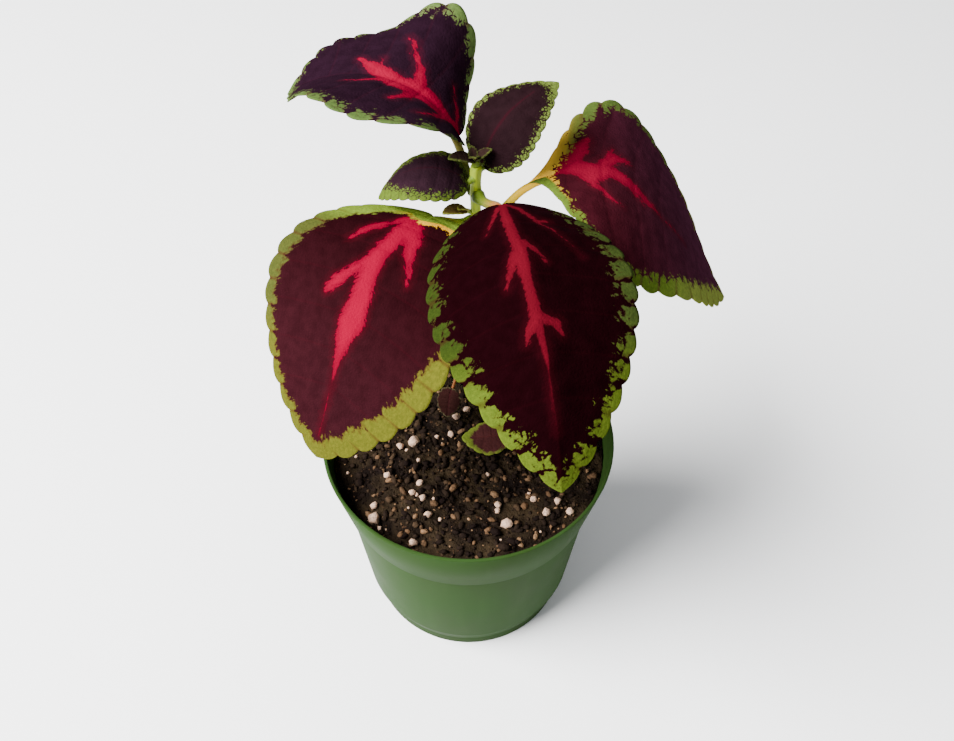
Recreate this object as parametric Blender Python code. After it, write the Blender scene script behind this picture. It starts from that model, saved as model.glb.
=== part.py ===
"""
Potted coleus in a four inch nursery pot.

The origin is the middle of the pot's flat underside and +Z is up. The plant's largest leaf
leans toward -Y. Lengths are millimetres and angles degrees until a mesh is made, in metres.
A bearing is measured from +X toward +Y, and a slope is the rise of a line above the level.
"""
import math
import random

import bmesh
import bpy
import numpy as np
from mathutils import Vector, geometry

MM = 0.001
CLEARANCE = 0.3
STALK_CLEARANCE = 0.35
RANDOM_SEED = 11

# Pot: turned profile, all radii are outer ones
POT_HEIGHT = 87.0
RIM_RADIUS = 51.0
COLLAR_RADIUS = 46.5
COLLAR_HEIGHT = 63.0
COLLAR_SLOPE = 2.0
BODY_TOP_RADIUS = 45.6
BODY_LOW_RADIUS = 41.3
BODY_LOW_HEIGHT = 12.7
FOOT_RADIUS = 38.6
FOOT_HEIGHT = 5.0
FOOT_ROUND = 0.6
RIM_ROUND = 0.4
WALL = 1.3
FLOOR_THICKNESS = 2.4
POT_SEGMENTS = 48
DRAIN_HOLES = 6
DRAIN_HOLE_RADIUS = 3.5
DRAIN_CIRCLE_RADIUS = 27.0

# Soil
SOIL_HEIGHT = 80.0
SOIL_EDGE_DROP = 1.6
SOIL_SWELL = 0.7
SOIL_POINT_SPACING = 7.5
STEM_HOLE_BOTTOM = 58.0
STEM_HOLE_SIDES = 12

# Perlite beads seen on the soil: x, y, radius
PERLITE = [
    (-19.5, 0.6, 2.2), (-24.4, -1.2, 1.3), (-16.5, -17.3, 1.3), (-31.1, -31.4, 2.1),
    (-31.5, -26.4, 1.3), (-27.7, -14.6, 1.3), (-18.8, -21.4, 1.2), (-15.2, -23.9, 1.2),
    (-17.6, -40.0, 1.4), (-13.2, -30.1, 1.3), (-4.6, 11.6, 1.4), (-0.8, 15.0, 1.3),
    (-6.4, 3.9, 1.3), (10.3, -25.6, 1.3), (13.2, -32.9, 2.0), (26.3, -28.9, 1.5),
    (30.2, -24.6, 1.3), (34.4, -27.7, 1.5), (22.2, -23.5, 1.2),
]
HIDDEN_PERLITE = 9
CRUMBS = 24
LUMP_RADII = (1.3, 2.6)
# Clear room around a lump: from the next lump, the wall, the stem's hole, and the soil's own points
LUMP_GAP = 1.0
LUMP_WALL_GAP = 5.0
HOLE_MARGIN = 3.0
LUMP_MARGIN = 2.5
WALL_MARGIN = 3.5
# The soil in sight: all of it before y = 0, and a disc behind that
SEEN_SOIL_Y = 10.0
SEEN_SOIL_RADIUS = 12.0
BEAD_SCALE = 0.75
BEAD_RISE = 0.85
CRUMB_RISE = (0.4, 0.7)
# Rings of a lump, from its foot up: share of the radius, share of the rise, points
LUMP_RINGS = ((1.0, 0.0, 7), (0.72, 0.75, 5), (0.0, 1.0, 1))
# Height of an equilateral triangle over its side, for rows of evenly spaced points
ROW_STEP = math.sqrt(3) / 2

# Stem: places on its axis, and its radius at the soil and at the top
STEM_ROUTE = [(3.0, 26.0, 58.3), (3.0, 26.0, 104.0), (2.4, 25.0, 140.0), (2.0, 24.5, 161.0),
              (2.0, 24.5, 180.6)]
STEM_RADIUS_LOW = 2.6
STEM_RADIUS_TOP = 1.35
STEM_SQUARENESS = 0.07
STEM_SIDES = 12
NODE_HEIGHTS = (104.0, 134.0, 161.0, 171.0, 178.5)
NODE_SWELL = 0.3
NODE_SPREAD = 2.2
STEM_RINGS = 14

# Leaves: fold, curl and wave are pairs for the left and the right half, as seen from the base.
# slope, bearing and tilt run from the base to the tip in even steps.
LARGE_BLADE = dict(lobe=4.0, teeth=15, tooth=1.3, spacing=6.0, thickness=0.7,
                   petiole=(1.5, 1.15), petiole_sides=8, tooth_points=5)
SMALL_BLADE = dict(lobe=1.8, teeth=12, tooth=0.6, spacing=4.5, thickness=0.6,
                   petiole=(0.9, 0.7), petiole_sides=7, tooth_points=4)
TINY_BLADE = dict(lobe=0.8, teeth=7, tooth=0.45, spacing=3.2, thickness=0.6,
                  petiole=(0.8, 0.6), petiole_sides=6, tooth_points=4)
LEAVES = {
    "leaf_front": dict(
        LARGE_BLADE, node=171.0, leaves_stem=-65, base=(9.2, 9.2, 178.6),
        bearing=(-80, -77.5), slope=(19.5, -6, -36, -69), tilt=(1, 2),
        length=91, width=57, fullness=0.48, taper=0.84,
        fold=(-11, -17), curl=(-3, -22), wave=(-0.9, 0.8), wave_start=(0.12, 0.05)),
    "leaf_left": dict(
        LARGE_BLADE, node=161.0, leaves_stem=205, base=(-10.4, 18.0, 167.6),
        bearing=(-121, -124), slope=(27.5, -26, -57, -66), tilt=(3, 0.5),
        length=89, width=68, fullness=0.54, taper=0.76,
        fold=(-5, -2), curl=(5.5, -5), wave=(-1.0, -1.2), wave_start=(-0.02, 0.18)),
    "leaf_right": dict(
        LARGE_BLADE, node=161.0, leaves_stem=6, base=(16.7, 27.5, 172.2),
        bearing=(-1.2, 3.3), slope=(34.5, -26.5, -56, -46.5), tilt=(3, 1.5),
        length=93.4, width=69, lobe=0.0, fullness=0.44, taper=0.85, wedge=13.8,
        fold=(1, -4), curl=(10, -7.5), wave=(1.5, 2.9), wave_start=(-0.08, 0.07)),
    "leaf_back": dict(
        LARGE_BLADE, node=171.0, leaves_stem=112, base=(-3.2, 38.1, 181.6),
        bearing=(156, 156.5), slope=(59, 12.5, -19, -32.5), tilt=(24, -17),
        length=66.5, width=62.7, lobe=1.0, fullness=0.44, taper=0.92,
        fold=(15.5, 10), curl=(-13.5, 11.5), wave=(-3.5, 7.5), wave_start=(-0.22, -0.24)),
    "leaf_upper_right": dict(
        SMALL_BLADE, node=178.5, leaves_stem=51, base=(3.8, 27.0, 178.8),
        bearing=(36, 34.5), slope=(82, 48, 18, -6.5), tilt=(6.5, -2.5),
        length=35.8, width=25.2, fullness=0.48, taper=0.85,
        fold=(-7, -11), curl=(1, -15), wave=(-0.5, -0.1), wave_start=(0.12, -0.05)),
    "leaf_upper_left": dict(
        SMALL_BLADE, node=176.5, leaves_stem=217, base=(-0.4, 22.5, 176.6),
        bearing=(178.5, 174), slope=(46, 2.5, -35.5, -68), tilt=(-1, 2),
        length=32.7, width=24.3, fullness=0.49, taper=0.81,
        fold=(-7, -7), curl=(-12, -6.5), wave=(-0.1, 0.5), wave_start=(0.0, 0.07)),
    "leaf_low_left": dict(
        TINY_BLADE, node=104.0, leaves_stem=225, base=(-6.1, 13.9, 94.2),
        bearing=(-115, -100), slope=(-45, -60, -70, -60), tilt=(0, 0),
        length=11.5, width=9, fullness=0.5, taper=0.75,
        fold=(10, 10), curl=(-30, -30), wave=(0, 0), wave_start=(0, 0)),
    "leaf_low_front": dict(
        TINY_BLADE, node=104.0, leaves_stem=-60, base=(14.0, -2.6, 89.5),
        bearing=(190, 172), slope=(-6, -8, -6, -4), tilt=(0, 8),
        length=16.5, width=15, fullness=0.5, taper=0.78,
        fold=(8, 8), curl=(-25, -20), wave=(0.3, 0.3), wave_start=(0, 0.3)),
}
WAVES_PER_BLADE = 1.5
NOTCH_WIDTH = 4.0
PLAIN_MARGIN = 0.17
TOOTH_LEAN = 1.3
TOOTH_ROUNDNESS = 0.7
TOOTH_ROOT = 0.55
# The midrib's line is found from a little behind the base to a little past the tip, in 1 % steps
MIDRIB_SPAN = (-0.15, 1.02)
MARGIN_SAMPLES = 500
RIB_REACH = 0.78
RIB_END_RADIUS = 0.3
RIB_RINGS = 9
RIB_DEPTH = 0.3
PETIOLE_RINGS = 7
PETIOLE_PULL = 0.38

# Shoots: a bud on a short stalk with its own small leaves.
# Leaflets: bearing, slope at base and tip, length, width, height on the bud
SHOOTS = {
    "shoot_tip": dict(
        foot=(2.0, 24.5, 180.9), top=(1.2, 24.1, 183.6), radii=(1.25, 0.9),
        leaflets=[(196, 42, -12, 8.4, 5.6, 0.55), (12, 50, 10, 6.2, 4.2, 0.6),
                  (104, 55, 25, 4.0, 3.0, 0.8), (-80, 55, 20, 4.6, 3.2, 0.8)]),
    "shoot_axil": dict(
        foot=(0.35, 22.9, 165.4), top=(-1.4, 21.4, 167.2), radii=(0.7, 0.6),
        leaflets=[(200, 35, -25, 8.0, 5.4, 0.6), (240, 60, 10, 5.5, 3.4, 0.7)]),
}
LEAFLET_ROWS = 7
LEAFLET_FOLD = (12, 12)
LEAFLET_CURL = (-15, -15)
LEAFLET_THICKNESS = 0.6

# Colour, roughness
POT_GREEN = ((0.105, 0.245, 0.075), 0.5)
SOIL_BROWN = ((0.022, 0.014, 0.011), 0.95)
STEM_GREEN = ((0.30, 0.40, 0.16), 0.5)
LEAF_MAROON = ((0.075, 0.008, 0.020), 0.55)


def clear_scene():
    for item in list(bpy.data.objects):
        bpy.data.objects.remove(item, do_unlink=True)


def material(name, look):
    colour, roughness = look
    made = bpy.data.materials.new(name)
    made.use_nodes = True
    shader = made.node_tree.nodes["Principled BSDF"]
    shader.inputs["Base Color"].default_value = (*colour, 1.0)
    shader.inputs["Roughness"].default_value = roughness
    shader.inputs["Metallic"].default_value = 0.0
    return made


def add_solid(name, points, faces, look):
    """One object from points in millimetres and faces that point outward."""
    mesh = bpy.data.meshes.new(name)
    mesh.from_pydata([tuple(float(v) * MM for v in point) for point in points], [], faces)
    mesh.validate()
    solid = bpy.data.objects.new(name, mesh)
    bpy.context.scene.collection.objects.link(solid)
    solid.data.materials.append(look)
    mesh.shade_smooth()
    mesh.set_sharp_from_angle(angle=math.radians(40))
    return solid


def apply_modifiers(solid):
    depsgraph = bpy.context.evaluated_depsgraph_get()
    finished = bpy.data.meshes.new_from_object(solid.evaluated_get(depsgraph))
    solid.modifiers.clear()
    solid.data = finished


def boolean(solid, operation, others):
    """Join the other objects to the solid, or cut them out of it, and remove them."""
    for other in others:
        step = solid.modifiers.new(operation.lower(), "BOOLEAN")
        step.operation = operation
        step.object = other
        apply_modifiers(solid)
    for other in others:
        bpy.data.objects.remove(other, do_unlink=True)
    tidy = bmesh.new()
    tidy.from_mesh(solid.data)
    bmesh.ops.triangulate(tidy, faces=tidy.faces)
    tidy.to_mesh(solid.data)
    tidy.free()


def ring(radius, height, segments, centre=(0.0, 0.0)):
    turn = 2 * math.pi / segments
    return [(centre[0] + radius * math.cos(i * turn), centre[1] + radius * math.sin(i * turn), height)
            for i in range(segments)]


def bridge(lower, upper, segments):
    """Faces between two rings of points, given by their first indices; they face away from the axis."""
    return [(lower + i, lower + (i + 1) % segments, upper + (i + 1) % segments, upper + i)
            for i in range(segments)]


def turned_solid(name, profile, segments, look):
    """A solid turned from a closed profile of (radius, height) that starts and ends on the axis."""
    points = [(0.0, 0.0, profile[0][1])]
    for radius, height in profile[1:-1]:
        points += ring(radius, height, segments)
    points.append((0.0, 0.0, profile[-1][1]))
    last = len(points) - 1
    faces = [(0, 1 + (i + 1) % segments, 1 + i) for i in range(segments)]
    for row in range(len(profile) - 3):
        faces += bridge(1 + row * segments, 1 + (row + 1) * segments, segments)
    top = last - segments
    faces += [(top + i, top + (i + 1) % segments, last) for i in range(segments)]
    return add_solid(name, points, faces, look)


def inner_radius(height):
    """The pot's inner radius: the outer profile less the wall."""
    heights = [0, FOOT_HEIGHT, BODY_LOW_HEIGHT, COLLAR_HEIGHT - COLLAR_SLOPE, COLLAR_HEIGHT, POT_HEIGHT]
    radii = [FOOT_RADIUS, FOOT_RADIUS, BODY_LOW_RADIUS, BODY_TOP_RADIUS, COLLAR_RADIUS, RIM_RADIUS]
    return float(np.interp(height, heights, radii)) - WALL


def make_pot(look):
    profile = [
        (0, 0), (FOOT_RADIUS - FOOT_ROUND, 0), (FOOT_RADIUS, FOOT_ROUND),
        (FOOT_RADIUS + 0.1, FOOT_HEIGHT), (BODY_LOW_RADIUS, BODY_LOW_HEIGHT),
        (BODY_TOP_RADIUS, COLLAR_HEIGHT - RIM_ROUND), (COLLAR_RADIUS, COLLAR_HEIGHT),
        (RIM_RADIUS - 0.1, POT_HEIGHT - RIM_ROUND), (RIM_RADIUS - RIM_ROUND, POT_HEIGHT),
        (RIM_RADIUS - WALL + RIM_ROUND, POT_HEIGHT),
        (inner_radius(POT_HEIGHT), POT_HEIGHT - RIM_ROUND),
        (inner_radius(COLLAR_HEIGHT), COLLAR_HEIGHT),
        (inner_radius(COLLAR_HEIGHT - COLLAR_SLOPE), COLLAR_HEIGHT - COLLAR_SLOPE),
        (inner_radius(BODY_LOW_HEIGHT), BODY_LOW_HEIGHT),
        (inner_radius(FOOT_HEIGHT), FOOT_HEIGHT),
        (inner_radius(FLOOR_THICKNESS), FLOOR_THICKNESS), (0, FLOOR_THICKNESS),
    ]
    pot = turned_solid("pot", profile, POT_SEGMENTS, look)
    drills = []
    for i in range(DRAIN_HOLES):
        angle = 2 * math.pi * (i + 0.5) / DRAIN_HOLES
        bpy.ops.mesh.primitive_cylinder_add(
            vertices=12, radius=DRAIN_HOLE_RADIUS * MM, depth=4 * FLOOR_THICKNESS * MM,
            location=(DRAIN_CIRCLE_RADIUS * MM * math.cos(angle),
                      DRAIN_CIRCLE_RADIUS * MM * math.sin(angle), FLOOR_THICKNESS * MM / 2))
        drills.append(bpy.context.object)
    boolean(pot, "DIFFERENCE", drills)
    return pot


def soil_level(x, y):
    """The soil's slightly uneven surface, a little lower along the pot's wall."""
    broad = math.sin(0.13 * x + 0.9) * math.cos(0.11 * y - 0.4)
    swell = broad + 0.6 * math.sin(0.31 * x - 0.23 * y)
    edge = (math.hypot(x, y) / inner_radius(SOIL_HEIGHT)) ** 6
    return SOIL_HEIGHT + SOIL_SWELL * swell - SOIL_EDGE_DROP * edge


def soil_lumps():
    """Places of the beads seen, then of hidden beads and crumbs, none touching another."""
    draw = random.Random(RANDOM_SEED)
    lumps = [(x, y, radius, BEAD_RISE) for x, y, radius in PERLITE]
    stem_x, stem_y = STEM_ROUTE[0][:2]
    wanted = len(PERLITE) + HIDDEN_PERLITE + CRUMBS
    while len(lumps) < wanted:
        bead = len(lumps) < len(PERLITE) + HIDDEN_PERLITE
        reach = (inner_radius(SOIL_HEIGHT) - LUMP_WALL_GAP) * math.sqrt(draw.random())
        angle = draw.uniform(0, 2 * math.pi)
        x, y = reach * math.cos(angle), reach * math.sin(angle)
        radius = draw.uniform(*LUMP_RADII) * (BEAD_SCALE if bead else 1.0)
        # The front of the soil shows only the beads listed by their places
        in_front = y < 0 or math.hypot(x, y - SEEN_SOIL_Y) < SEEN_SOIL_RADIUS
        if bead and in_front:
            continue
        if math.hypot(x - stem_x, y - stem_y) < radius + STEM_RADIUS_LOW + HOLE_MARGIN:
            continue
        if all(math.hypot(x - a, y - b) > radius + r + LUMP_GAP for a, b, r, _ in lumps):
            lumps.append((x, y, radius, BEAD_RISE if bead else draw.uniform(*CRUMB_RISE)))
    return lumps


def make_soil(look):
    """Soil that fills the pot, with its lumps raised from the surface and a hole for the stem."""
    floor = FLOOR_THICKNESS + CLEARANCE
    edge_level = soil_level(inner_radius(SOIL_HEIGHT), 0)
    side = [(inner_radius(z) - CLEARANCE, z) for z in
            (floor, FOOT_HEIGHT, BODY_LOW_HEIGHT, COLLAR_HEIGHT - COLLAR_SLOPE, COLLAR_HEIGHT,
             edge_level)]
    edge_radius = side[-1][0]
    hole_x, hole_y = STEM_ROUTE[0][:2]
    stem_reach = STEM_RADIUS_LOW * (1 + STEM_SQUARENESS)
    hole_radius = (stem_reach + CLEARANCE) / math.cos(math.pi / STEM_HOLE_SIDES)
    edge = ring(edge_radius, 0, POT_SEGMENTS)
    hole = ring(hole_radius, 0, STEM_HOLE_SIDES, (hole_x, hole_y))
    flat = [Vector(p[:2]) for p in edge + hole]
    heights = [edge_level] * len(edge) + [None] * len(hole)
    lumps = soil_lumps()
    for x, y, radius, rise in lumps:
        for share, lift, count in LUMP_RINGS:
            for p in ring(radius * share, 0, count, (x, y)):
                flat.append(Vector(p[:2]))
                heights.append(soil_level(*p[:2]) + lift * rise * radius)
    rows = int(2 * edge_radius / (SOIL_POINT_SPACING * ROW_STEP)) + 1
    for row in range(rows):
        for column in range(rows):
            x = -edge_radius + (column + 0.5 * (row % 2)) * SOIL_POINT_SPACING
            y = -edge_radius + row * SOIL_POINT_SPACING * ROW_STEP
            near_lump = any(math.hypot(x - a, y - b) < r + LUMP_MARGIN for a, b, r, _ in lumps)
            near_hole = math.hypot(x - hole_x, y - hole_y) < hole_radius + HOLE_MARGIN
            near_wall = math.hypot(x, y) > edge_radius - WALL_MARGIN
            if not (near_lump or near_hole or near_wall):
                flat.append(Vector((x, y)))
                heights.append(None)
    count = len(edge)
    loops = [(i, (i + 1) % count) for i in range(count)]
    loops += [(count + i, count + (i + 1) % STEM_HOLE_SIDES) for i in range(STEM_HOLE_SIDES)]
    spots, _, faces, sources, _, _ = geometry.delaunay_2d_cdt(flat, loops, [], 1, 1e-4)
    points = []
    for spot, source in zip(spots, sources):
        level = heights[source[0]] if source else None
        points.append((spot.x, spot.y, soil_level(*spot) if level is None else level))
    edge_start = {source[0]: i for i, source in enumerate(sources) if source}
    mouth = [edge_start[count + i] for i in range(STEM_HOLE_SIDES)]
    faces = [tuple(face) for face in faces if not set(face) <= set(mouth)]
    upper = [edge_start[i] for i in range(count)]
    for radius, z in reversed(side[:-1]):
        start = len(points)
        points += ring(radius, z, count)
        lower = list(range(start, start + count))
        for i in range(count):
            after = (i + 1) % count
            faces.append((lower[i], lower[after], upper[after], upper[i]))
        upper = lower
    points.append((0, 0, floor))
    faces += [(upper[(i + 1) % count], upper[i], len(points) - 1) for i in range(count)]
    start = len(points)
    points += ring(hole_radius, STEM_HOLE_BOTTOM, STEM_HOLE_SIDES, (hole_x, hole_y))
    points.append((hole_x, hole_y, STEM_HOLE_BOTTOM))
    for i in range(STEM_HOLE_SIDES):
        after = (i + 1) % STEM_HOLE_SIDES
        faces.append((start + after, start + i, mouth[i], mouth[after]))
        faces.append((start + i, start + after, len(points) - 1))
    return add_solid("soil", points, faces, look)


def swept_tube(points, radii, sides, squareness=0.0):
    """Points and faces of a capped tube along a route, with its rings carried without twist."""
    route = np.array(points, dtype=float)
    tangents = np.gradient(route, axis=0)
    tangents /= np.linalg.norm(tangents, axis=1)[:, None]
    upright = abs(tangents[0][2]) > 0.9
    across = np.cross(tangents[0], (0.0, 1.0, 0.0) if upright else (0.3, 0.2, 0.9))
    verts = []
    for place, tangent, radius in zip(route, tangents, radii):
        across = across - tangent * np.dot(across, tangent)
        across /= np.linalg.norm(across)
        upward = np.cross(tangent, across)
        for i in range(sides):
            angle = 2 * math.pi * i / sides
            reach = radius * (1 + squareness * math.cos(4 * angle))
            verts.append(place + reach * (math.cos(angle) * across + math.sin(angle) * upward))
    faces = []
    for row in range(len(route) - 1):
        faces += bridge(row * sides, (row + 1) * sides, sides)
    last = len(verts)
    verts += [route[0], route[-1]]
    end = (len(route) - 1) * sides
    for i in range(sides):
        after = (i + 1) % sides
        faces.append((after, i, last))
        faces.append((end + i, end + after, last + 1))
    return verts, faces


def stem_axis(height):
    x, y, z = zip(*STEM_ROUTE)
    return np.array([np.interp(height, z, x), np.interp(height, z, y), height])


def stem_radius(height):
    """The stem tapers upward and swells a little at each node."""
    low, high = STEM_ROUTE[0][2], STEM_ROUTE[-1][2]
    share = (height - low) / (high - low)
    plain = STEM_RADIUS_LOW + (STEM_RADIUS_TOP - STEM_RADIUS_LOW) * max(share, 0.0) ** 0.8
    swell = sum(math.exp(-((height - z) / NODE_SPREAD) ** 2) for z in NODE_HEIGHTS)
    return plain + NODE_SWELL * swell


def make_stem(look):
    low, high = STEM_ROUTE[0][2], STEM_ROUTE[-1][2]
    heights = set(np.linspace(low, high, STEM_RINGS).round(1))
    heights |= {z + step for z in NODE_HEIGHTS for step in (-NODE_SPREAD, 0, NODE_SPREAD)}
    heights = sorted(z for z in heights if low <= z <= high)
    route = [stem_axis(z) for z in heights]
    radii = [stem_radius(z) for z in heights]
    return add_solid("stem", *swept_tube(route, radii, STEM_SIDES, STEM_SQUARENESS), look)


def course(values, share):
    """A value along the leaf: the smooth curve through even steps from base to tip."""
    steps = np.linspace(0, 1, len(values))
    return np.polyval(np.polyfit(steps, values, len(values) - 1), share)


def leaf_directions(leaf, along):
    """Unit vectors at a distance along the midrib: forward, to the left, and up from the blade."""
    share = np.clip(np.asarray(along, dtype=float) / leaf["length"], 0, 1)
    bearing = np.radians(course(leaf["bearing"], share))
    slope = np.radians(course(leaf["slope"], share))
    tilt = np.radians(course(leaf["tilt"], share))[..., None]
    forward = np.stack([np.cos(slope) * np.cos(bearing), np.cos(slope) * np.sin(bearing), np.sin(slope)], -1)
    level = np.stack([-np.sin(bearing), np.cos(bearing), 0 * bearing], -1)
    upright = np.cross(forward, level)
    left = level * np.cos(tilt) + upright * np.sin(tilt)
    up = upright * np.cos(tilt) - level * np.sin(tilt)
    return forward, left, up


def midrib(leaf, along):
    """Places on the midrib, found by adding up short steps forward from behind the base."""
    start, end = MIDRIB_SPAN
    steps = np.linspace(start, end, round(100 * (end - start)) + 1) * leaf["length"]
    forward = leaf_directions(leaf, steps)[0]
    hops = (forward[1:] + forward[:-1]) / 2 * np.diff(steps)[:, None]
    line = np.vstack([np.zeros(3), np.cumsum(hops, axis=0)])
    origin = [np.interp(0, steps, line[:, k]) for k in range(3)]
    line += np.array(leaf["base"]) - origin
    return np.stack([np.interp(along, steps, line[:, k]) for k in range(3)], -1)


def on_blade(leaf, along, across, lift=0.0):
    """Places on the bent blade, for flat ones given along and to the left of the midrib."""
    along = np.asarray(along, dtype=float)
    across = np.asarray(across, dtype=float)
    half = leaf["width"] / 2
    _, left, up = leaf_directions(leaf, along)
    is_left = across >= 0
    side = np.where(is_left, 1.0, -1.0)
    fold = np.radians(np.where(is_left, *leaf["fold"]))
    curl = np.radians(np.where(is_left, *leaf["curl"]))
    curl = np.where(np.abs(curl) < 1e-3, 1e-3, curl)
    share = np.abs(across) / half
    lean = fold + curl * share
    outward = half / curl * (np.sin(lean) - np.sin(fold))
    rise = half / curl * (np.cos(fold) - np.cos(lean))
    phase = WAVES_PER_BLADE * np.clip(along / leaf["length"], 0, 1) + np.where(is_left, *leaf["wave_start"])
    rise = rise + np.where(is_left, *leaf["wave"]) * np.sin(2 * math.pi * phase) * share ** 2
    place = midrib(leaf, along) + left * (side * outward)[..., None] + up * rise[..., None]
    normal = up * np.cos(lean)[..., None] - left * (side * np.sin(lean))[..., None]
    return place + normal * np.asarray(lift, dtype=float)[..., None]


def half_width(leaf, share):
    """Half the blade's width at a share of its length, without its teeth."""
    full, taper = leaf["fullness"], leaf["taper"]
    peak = full / (full + taper)
    highest = peak ** full * (1 - peak) ** taper
    share = np.clip(share, 0, 1)
    wide = leaf["width"] / 2 * share ** full * (1 - share) ** taper / highest
    if "wedge" in leaf:
        # The blade widens slowly where it runs down its stalk
        wide = wide * (1 - np.exp(-(share * leaf["length"] / leaf["wedge"]) ** 2))
    return wide


def margin(leaf):
    """One side of the toothed margin, from the base to the tip, as flat along and across values."""
    share = np.linspace(0, 1, MARGIN_SAMPLES) ** 1.6
    across = half_width(leaf, share)
    along = share * leaf["length"] - leaf["lobe"] * (1 - share) ** 4 * (1 - np.exp(-across / NOTCH_WIDTH))
    run = np.concatenate([[0], np.cumsum(np.hypot(np.diff(along), np.diff(across)))])
    run /= run[-1]
    places = np.linspace(0, 1, leaf["teeth"] * leaf["tooth_points"] + 1)
    x = np.interp(places, run, along)
    y = np.interp(places, run, across)
    dx, dy = np.gradient(x), np.gradient(y)
    size = np.hypot(dx, dy)
    phase = (places * leaf["teeth"]) % 1.0
    bulge = np.sin(math.pi * phase ** TOOTH_LEAN) ** TOOTH_ROUNDNESS - TOOTH_ROOT
    grow = np.clip(places / PLAIN_MARGIN - 0.5, 0, 1) * np.clip((1 - places) * leaf["teeth"], 0, 1)
    x = x - dy / size * leaf["tooth"] * bulge * grow
    y = y + dx / size * leaf["tooth"] * bulge * grow
    return x, y


def blade_solid(leaf):
    """Points and faces of a blade: the toothed outline, triangulated alike on both faces."""
    x, y = margin(leaf)
    ring_points = [(x[i], -y[i]) for i in range(len(x))]
    ring_points += [(x[i], y[i]) for i in range(len(x) - 2, 0, -1)]
    tip = len(x) - 1
    count = len(ring_points)
    spacing = leaf["spacing"]
    length = leaf["length"]
    rib_count = int(length / spacing)
    rib = [(length * (i + 1) / (rib_count + 1), 0.0) for i in range(rib_count)]
    inner = []
    for row in range(1, int(leaf["width"] / spacing)):
        height = row * spacing * ROW_STEP
        for column in range(-1, int(length / spacing) + 1):
            station = (column + 0.5 * (row % 2)) * spacing
            room = np.interp(station, x, y) - height
            if room > 0.5 * spacing:
                inner += [(station, height), (station, -height)]
    flat = [Vector(p) for p in ring_points + rib + inner]
    rib_ids = [0] + list(range(count, count + len(rib))) + [tip]
    edges = [(i, (i + 1) % count) for i in range(count)] + list(zip(rib_ids, rib_ids[1:]))
    spots, _, faces, _, _, _ = geometry.delaunay_2d_cdt(flat, edges, [], 1, 1e-5)
    along = np.array([s.x for s in spots])
    across = np.array([s.y for s in spots])
    half = leaf["thickness"] / 2
    top = on_blade(leaf, along, across, np.full(len(spots), half))
    bottom = on_blade(leaf, along, across, np.full(len(spots), -half))
    number = len(spots)
    solid_faces = []
    rim = {}
    for face in faces:
        a, b, c = face
        if (spots[b] - spots[a]).cross(spots[c] - spots[a]) < 0:
            b, c = c, b
        solid_faces += [(a, b, c), (number + a, number + c, number + b)]
        for pair in ((a, b), (b, c), (c, a)):
            if pair[::-1] in rim:
                del rim[pair[::-1]]
            else:
                rim[pair] = True
    for a, b in rim:
        solid_faces += [(a, number + a, number + b), (a, number + b, b)]
    return list(top) + list(bottom), solid_faces


def petiole_solid(leaf):
    """Points and faces of the leaf stalk, which runs on as the midrib under the blade."""
    thick, thin = leaf["petiole"]
    bearing = math.radians(leaf["leaves_stem"])
    outward = np.array([math.cos(bearing), math.sin(bearing), 0.0])
    reach = stem_radius(leaf["node"]) * (1 + STEM_SQUARENESS) + STALK_CLEARANCE
    start = stem_axis(leaf["node"]) + outward * reach

    def under_blade(along, radius):
        return on_blade(leaf, [along], [0.0], [-(leaf["thickness"] / 2 + RIB_DEPTH * radius)])[0]

    end = under_blade(0.0, thin)
    forward = leaf_directions(leaf, 0.0)[0]
    pull = PETIOLE_PULL * np.linalg.norm(end - start)
    handles = [start, start + outward * pull, end - forward * pull, end]
    route, radii = [], []
    for i in range(PETIOLE_RINGS):
        t = i / PETIOLE_RINGS
        weights = [(1 - t) ** 3, 3 * t * (1 - t) ** 2, 3 * t * t * (1 - t), t ** 3]
        route.append(sum(w * h for w, h in zip(weights, handles)))
        radii.append(thick + (thin - thick) * t)
    for i in range(RIB_RINGS + 1):
        share = i / RIB_RINGS
        radius = thin + (RIB_END_RADIUS - thin) * share ** 0.7
        route.append(under_blade(share * RIB_REACH * leaf["length"], radius))
        radii.append(radius)
    return swept_tube(route, radii, leaf["petiole_sides"])


def make_leaf(name, leaf, look):
    blade = add_solid(name, *blade_solid(leaf), look)
    stalk = add_solid(name + "_stalk", *petiole_solid(leaf), look)
    boolean(blade, "UNION", [stalk])
    return blade


def leaflet_solid(start, bearing, slopes, length, width):
    """A very young leaf: a short blade with a pointed tip, its root sunk in the bud."""
    leaf = dict(base=start, bearing=(bearing, bearing), slope=slopes, tilt=(0, 0), length=length,
                width=width, fold=LEAFLET_FOLD, curl=LEAFLET_CURL, wave=(0, 0), wave_start=(0, 0))
    share = np.linspace(0, 1, LEAFLET_ROWS)
    half = width / 2 * np.sin(math.pi * np.clip(0.12 + 0.86 * share, 0, 1)) ** 0.8
    places = []
    for lift in (LEAFLET_THICKNESS / 2, -LEAFLET_THICKNESS / 2):
        for side in (-1, 0, 1):
            places += list(on_blade(leaf, share * length, side * half, np.full(LEAFLET_ROWS, lift)))
    rows = LEAFLET_ROWS
    faces = []
    for column in range(2):
        for i in range(rows - 1):
            a, b = column * rows + i, (column + 1) * rows + i
            faces += [(a, a + 1, b + 1), (a, b + 1, b)]
            low = 3 * rows
            faces += [(low + a, low + b + 1, low + a + 1), (low + a, low + b, low + b + 1)]
    outline = list(range(rows)) + [2 * rows - 1] + list(range(3 * rows - 1, 2 * rows - 1, -1)) + [rows]
    for a, b in zip(outline, outline[1:] + outline[:1]):
        faces += [(a, 3 * rows + a, 3 * rows + b), (a, 3 * rows + b, b)]
    return places, faces


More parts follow.
